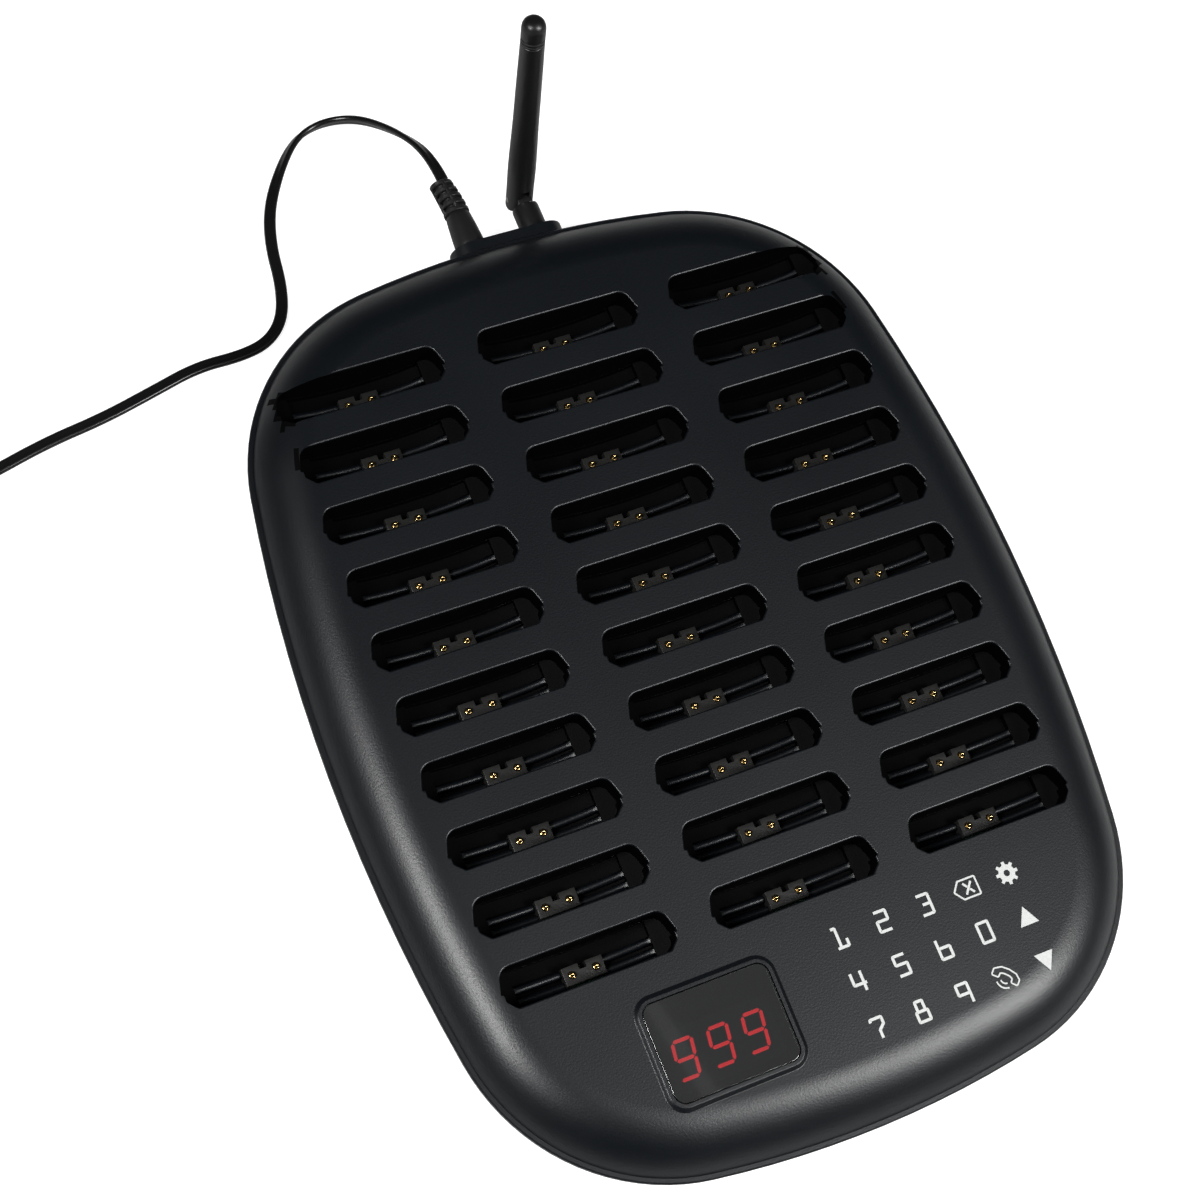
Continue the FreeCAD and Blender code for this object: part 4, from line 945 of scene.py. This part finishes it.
tongueRoom = turnedPiece("tongueRoom", roomEnds, turnedAcross, 48)
boolean(whip, tongueRoom, "DIFFERENCE")
whip.data.transform(whipPlace)
smooth(whip, 40)
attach(whip, "antenna_tilt")
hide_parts("antenna_whip")
cap = turnedPiece(
    "antennaCap",
    [
        (4.0, 86.5), (4.14, 86.65), (4.15, 87.3), (3.85, 87.45), (3.85, 87.9), (4.15, 88.05), (4.15, 88.8),
        (3.85, 88.95),
        (3.85, 89.4), (4.15, 89.55), (4.15, 93.2), (4.05, 94.2), (3.75, 95.2), (3.2, 96.0), (2.4, 96.6), (1.4, 96.9),
        (0.3, 96.92),
    ],
    whipPlace,
)
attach(cap, "antenna_tilt")
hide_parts("whip_cap")
print("antenna and plug made")


# shader maths as expressions
class Mixed:
    def __init__(self, tree, socket):
        self.tree = tree
        self.socket = socket

    def math(self, operation, other):
        return self.node("ShaderNodeMath", {"operation": operation}, {0: self, 1: other})

    def node(self, kind, settings=None, inputs=None, output=0):
        made = self.tree.nodes.new(kind)
        for key, value in (settings or {}).items():
            setattr(made, key, value)
        for key, value in (inputs or {}).items():
            if isinstance(value, Mixed):
                self.tree.links.new(value.socket, made.inputs[key])
            else:
                made.inputs[key].default_value = value
        return Mixed(self.tree, made.outputs[output])

    def __add__(self, other): return self.math("ADD", other)
    def __radd__(self, other): return self.math("ADD", other)
    def __sub__(self, other): return self.math("SUBTRACT", other)
    def __mul__(self, other): return self.math("MULTIPLY", other)


def newMaterial(name, **settings):
    material = bpy.data.materials.new(name)
    material.use_nodes = True
    shader = material.node_tree.nodes["Principled BSDF"]
    for key, value in settings.items():
        shader.inputs[key.replace("_", " ")].default_value = value
    coordinates = material.node_tree.nodes.new("ShaderNodeTexCoord")
    start = Mixed(material.node_tree, coordinates.outputs["Object"])
    return material, shader, start


def wire(shader, key, value):
    value.tree.links.new(value.socket, shader.inputs[key])


def noise(start, scale, detail=2.0, roughness=0.5):
    return start.node(
        "ShaderNodeTexNoise", {}, {"Vector": start, "Scale": scale, "Detail": detail, "Roughness": roughness}, "Fac"
    )


def colourBetween(factor, first, second):
    return factor.node("ShaderNodeMix", {"data_type": "RGBA"}, {"Factor": factor, 6: (*first, 1), 7: (*second, 1)}, 2)


def bumped(shader, height, strength, distance):
    wire(
        shader, "Normal",
        height.node("ShaderNodeBump", {}, {"Height": height, "Strength": strength, "Distance": distance}, "Normal"),
    )


def mouldedPlastic(name, dark, light, roughness, grain, grainDepth, spread=0.08):
    # moulded plastic: a fine even grain, broad soft patches and a slight change of polish
    material, shader, start = newMaterial(name)
    shader.inputs["Specular IOR Level"].default_value = 0.5
    patches = noise(start, 18.0, 3.0)
    fine = noise(start, grain, 2.0)
    wire(shader, "Base Color", colourBetween(patches * 0.6 + fine * 0.4, dark, light))
    wire(shader, "Roughness", roughness + (patches - 0.5) * spread + (fine - 0.5) * spread)
    bumped(shader, fine, 0.5, grainDepth)
    return material


def flatMetal(name, colour, roughness, scale=900.0):
    material, shader, start = newMaterial(name)
    shader.inputs["Metallic"].default_value = 1.0
    streaks = noise(start, scale, 2.0)
    darker = tuple(value * 0.82 for value in colour)
    wire(shader, "Base Color", colourBetween(streaks, darker, colour))
    wire(shader, "Roughness", roughness + (streaks - 0.5) * 0.12)
    return material


housingBlack = mouldedPlastic(
    "housingBlack", (0.0010, 0.0020, 0.0034), (0.0020, 0.0034, 0.0052), 0.38, 1500.0, 0.00009
)
innerBlack = mouldedPlastic("blockBlack", (0.010, 0.0095, 0.009), (0.015, 0.0145, 0.014), 0.42, 1800.0, 0.00002)
rubberBlack = mouldedPlastic("rubberBlack", (0.005, 0.005, 0.0055), (0.008, 0.008, 0.0085), 0.45, 1500.0, 0.00003)
antennaBlack = mouldedPlastic("antennaBlack", (0.004, 0.004, 0.0045), (0.007, 0.007, 0.0075), 0.36, 1600.0, 0.00003)
cordBlack = mouldedPlastic("cordBlack", (0.004, 0.004, 0.0045), (0.007, 0.007, 0.0075), 0.22, 900.0, 0.00002)
boardGreen = mouldedPlastic("boardGreen", (0.008, 0.09, 0.03), (0.02, 0.15, 0.06), 0.35, 700.0, 0.00002)
gold = flatMetal("contactGold", (0.98, 0.70, 0.30), 0.16)
brass = flatMetal("socketBrass", (0.80, 0.58, 0.25), 0.28)
steel = flatMetal("screwSteel", (0.52, 0.52, 0.50), 0.34)
plated = flatMetal("platedSteel", (0.75, 0.74, 0.70), 0.2)
tin = flatMetal("shieldTin", (0.66, 0.66, 0.64), 0.35)

inkWhite, inkShader, inkStart = newMaterial("signInk", Roughness=0.55)
inkSpots = noise(inkStart, 1400.0, 2.0)
wire(inkShader, "Base Color", colourBetween(inkSpots, (0.50, 0.51, 0.50), (0.66, 0.67, 0.66)))

litRed, litShader, litStart = newMaterial("litRed", Roughness=0.4)
glow = noise(litStart, 500.0, 1.0)
wire(litShader, "Base Color", colourBetween(glow, (0.45, 0.004, 0.008), (0.6, 0.01, 0.015)))
wire(litShader, "Emission Color", colourBetween(glow, (0.75, 0.012, 0.02), (0.9, 0.03, 0.04)))
litShader.inputs["Emission Strength"].default_value = 13.0

unlitRed, unlitShader, unlitStart = newMaterial("unlitRed", Roughness=0.5)
wire(unlitShader, "Base Color", colourBetween(noise(unlitStart, 400.0), (0.014, 0.006, 0.007), (0.02, 0.008, 0.009)))
backingBlack, backingShader, backingStart = newMaterial("backingBlack", Roughness=0.4)
backingDark, backingLight = (0.008, 0.005, 0.006), (0.013, 0.007, 0.008)
wire(backingShader, "Base Color", colourBetween(noise(backingStart, 300.0), backingDark, backingLight))

smokedDark, smokedLight = (0.004, 0.0045, 0.005), (0.006, 0.0065, 0.007)
smoked, smokedShader, smokedStart = newMaterial("smokedWindow")
smokedShader.inputs["Coat Weight"].default_value = 1.0
smokedShader.inputs["Coat Roughness"].default_value = 0.03
smokedShader.inputs["Alpha"].default_value = 0.8
wire(smokedShader, "Base Color", colourBetween(noise(smokedStart, 90.0), smokedDark, smokedLight))
wire(smokedShader, "Roughness", 0.05 + noise(smokedStart, 60.0, 3.0) * 0.05)

# painted shade: a darker, nearly unreflecting copy of the housing plastic, put on the faces inside the wells that lie
# in deep shade
paintedWellShade = mouldedPlastic("paintedWellShade", (0.0004, 0.0004, 0.0005), (0.0008, 0.0008, 0.0009), 0.6, 1800.0, 0.00002)
paintedWellShade.node_tree.nodes["Principled BSDF"].inputs["Specular IOR Level"].default_value = 0.05


def dressed(piece, material):
    piece.data.materials.clear()
    piece.data.materials.append(material)


dressed(topShell, housingBlack)
# painted shade: the wells' steep walls, their ends and the low ground beside the rails lie in deep shade, so they are
# given a darker, nearly unreflecting copy of the housing plastic
topShell.data.materials.append(paintedWellShade)
for face in topShell.data.polygons:
    x, y, z = face.center.x / mm, face.center.y / mm - shiftBack, face.center.z / mm
    across = min(abs(x - column * well["columnPitch"]) for column in (-1, 0, 1))
    along = min(abs(y - wellY) for _, wellY in wells)
    inside = across < well["length"] / 2 + 0.2 and along < well["width"] / 2 + 0.4
    steep = abs(face.normal.z) < 0.5
    beyond = across > troughHalf - 0.1
    sunk = z < saddleHeight(min(across, 30)) - 1.2
    if inside and z < cover["top"] - well["lip"] - 0.1 and (steep or beyond or sunk):
        face.material_index = 1
dressed(blocks, innerBlack)
dressed(plug, rubberBlack)
dressed(knuckle, antennaBlack)
dressed(whip, antennaBlack)
dressed(cap, antennaBlack)
dressed(powerLead, cordBlack)
dressed(glass, smoked)
dressed(lit, litRed)
dressed(unlit, unlitRed)
dressed(backing, backingBlack)
dressed(ink, inkWhite)
for piece in bpy.data.objects:
    if piece.name.startswith("goldPins"):
        dressed(piece, gold)
finishes = {
    "bottom_cover": housingBlack, "charging_board": boardGreen, "main_board": boardGreen, "touch_board": boardGreen,
    "radio_module": tin, "power_jack": innerBlack, "antenna_socket": brass, "plug_barrel": plated, "hinge_pin": steel,
    "rubber_feet": rubberBlack, "case_screws": steel, "board_screws": steel, "adapter_case": rubberBlack,
    "adapter_blades": plated,
}
for nodeName, material in finishes.items():
    made = frame["nodes"][nodeName]
    for piece in made if isinstance(made, list) else [made]:
        for socket in piece.material_slots:
            socket.material = material
print("materials made")

# floor, lamps and the pale surroundings
bpy.ops.mesh.primitive_plane_add(size=6, location=(0, 0, 0))
floor = named("floor")
floorMaterial, floorShader, floorStart = newMaterial("floorWhite", Roughness=0.9)
floorShader.inputs["Base Color"].default_value = (0.42, 0.42, 0.42, 1)
floorShader.inputs["Emission Color"].default_value = (1, 1, 1, 1)
floorTree = floorMaterial.node_tree
path = floorTree.nodes.new("ShaderNodeLightPath")
seen = Mixed(floorTree, path.outputs["Is Camera Ray"])
mirrored = Mixed(floorTree, path.outputs["Is Glossy Ray"])
wire(floorShader, "Emission Strength", seen * 0.9 + mirrored * 0.06)
dressed(floor, floorMaterial)

world = bpy.data.worlds.new("surroundings")
bpy.context.scene.world = world
world.use_nodes = True
worldTree = world.node_tree
background = worldTree.nodes["Background"]
worldPath = worldTree.nodes.new("ShaderNodeLightPath")
cameraRay = Mixed(worldTree, worldPath.outputs["Is Camera Ray"])
skyPlace = Mixed(worldTree, worldTree.nodes.new("ShaderNodeTexCoord").outputs["Generated"])
height = skyPlace.node("ShaderNodeSeparateXYZ", {}, {"Vector": skyPlace}, "Z")
# the room is pale around the table and dark overhead
room = height.node(
    "ShaderNodeMapRange", {"interpolation_type": "SMOOTHSTEP"},
    {"Value": height, "From Min": 0.05, "From Max": 0.5, "To Min": 0.12, "To Max": 0.016}, "Result",
)
roomOrWhite = {"Factor": cameraRay, "A": room, "B": 1.0}
strength = cameraRay.node("ShaderNodeMix", {"data_type": "FLOAT"}, roomOrWhite, "Result")
worldTree.links.new(strength.socket, background.inputs["Strength"])
background.inputs["Color"].default_value = (1, 1, 1, 1)

lamps = (
    ("keyLamp", (0.69, -0.76, 1.22), (0.04, -0.16, 0.046), (0.42, 0.8), 24.0),
    ("overheadLamp", (0.34, -0.08, 1.38), (-0.04, -0.12, 0.046), (0.8, 0.8), 0.8),
    ("leftLamp", (-0.84, -0.06, 1.0), (-0.11, -0.04, 0.045), (0.34, 0.34), 12.5),
    ("stripLamp", (0.262, -0.05, 1.30), (-0.058, -0.118, 0.047), (0.5, 0.014), 0.0065),
)
for lampName, spot, target, size, power in lamps:
    bpy.ops.object.light_add(type="AREA", location=spot)
    lamp = bpy.context.object
    lamp.name = lampName
    lamp.data.shape = "RECTANGLE"
    lamp.data.size, lamp.data.size_y = size
    lamp.data.energy = power
    lamp.rotation_euler = (Vector(target) - Vector(spot)).to_track_quat("-Z", "Y").to_euler()
bpy.context.scene.view_settings.view_transform = "Standard"
print("stage lit")

place(-11.5, 199.3, 25.5)

import json
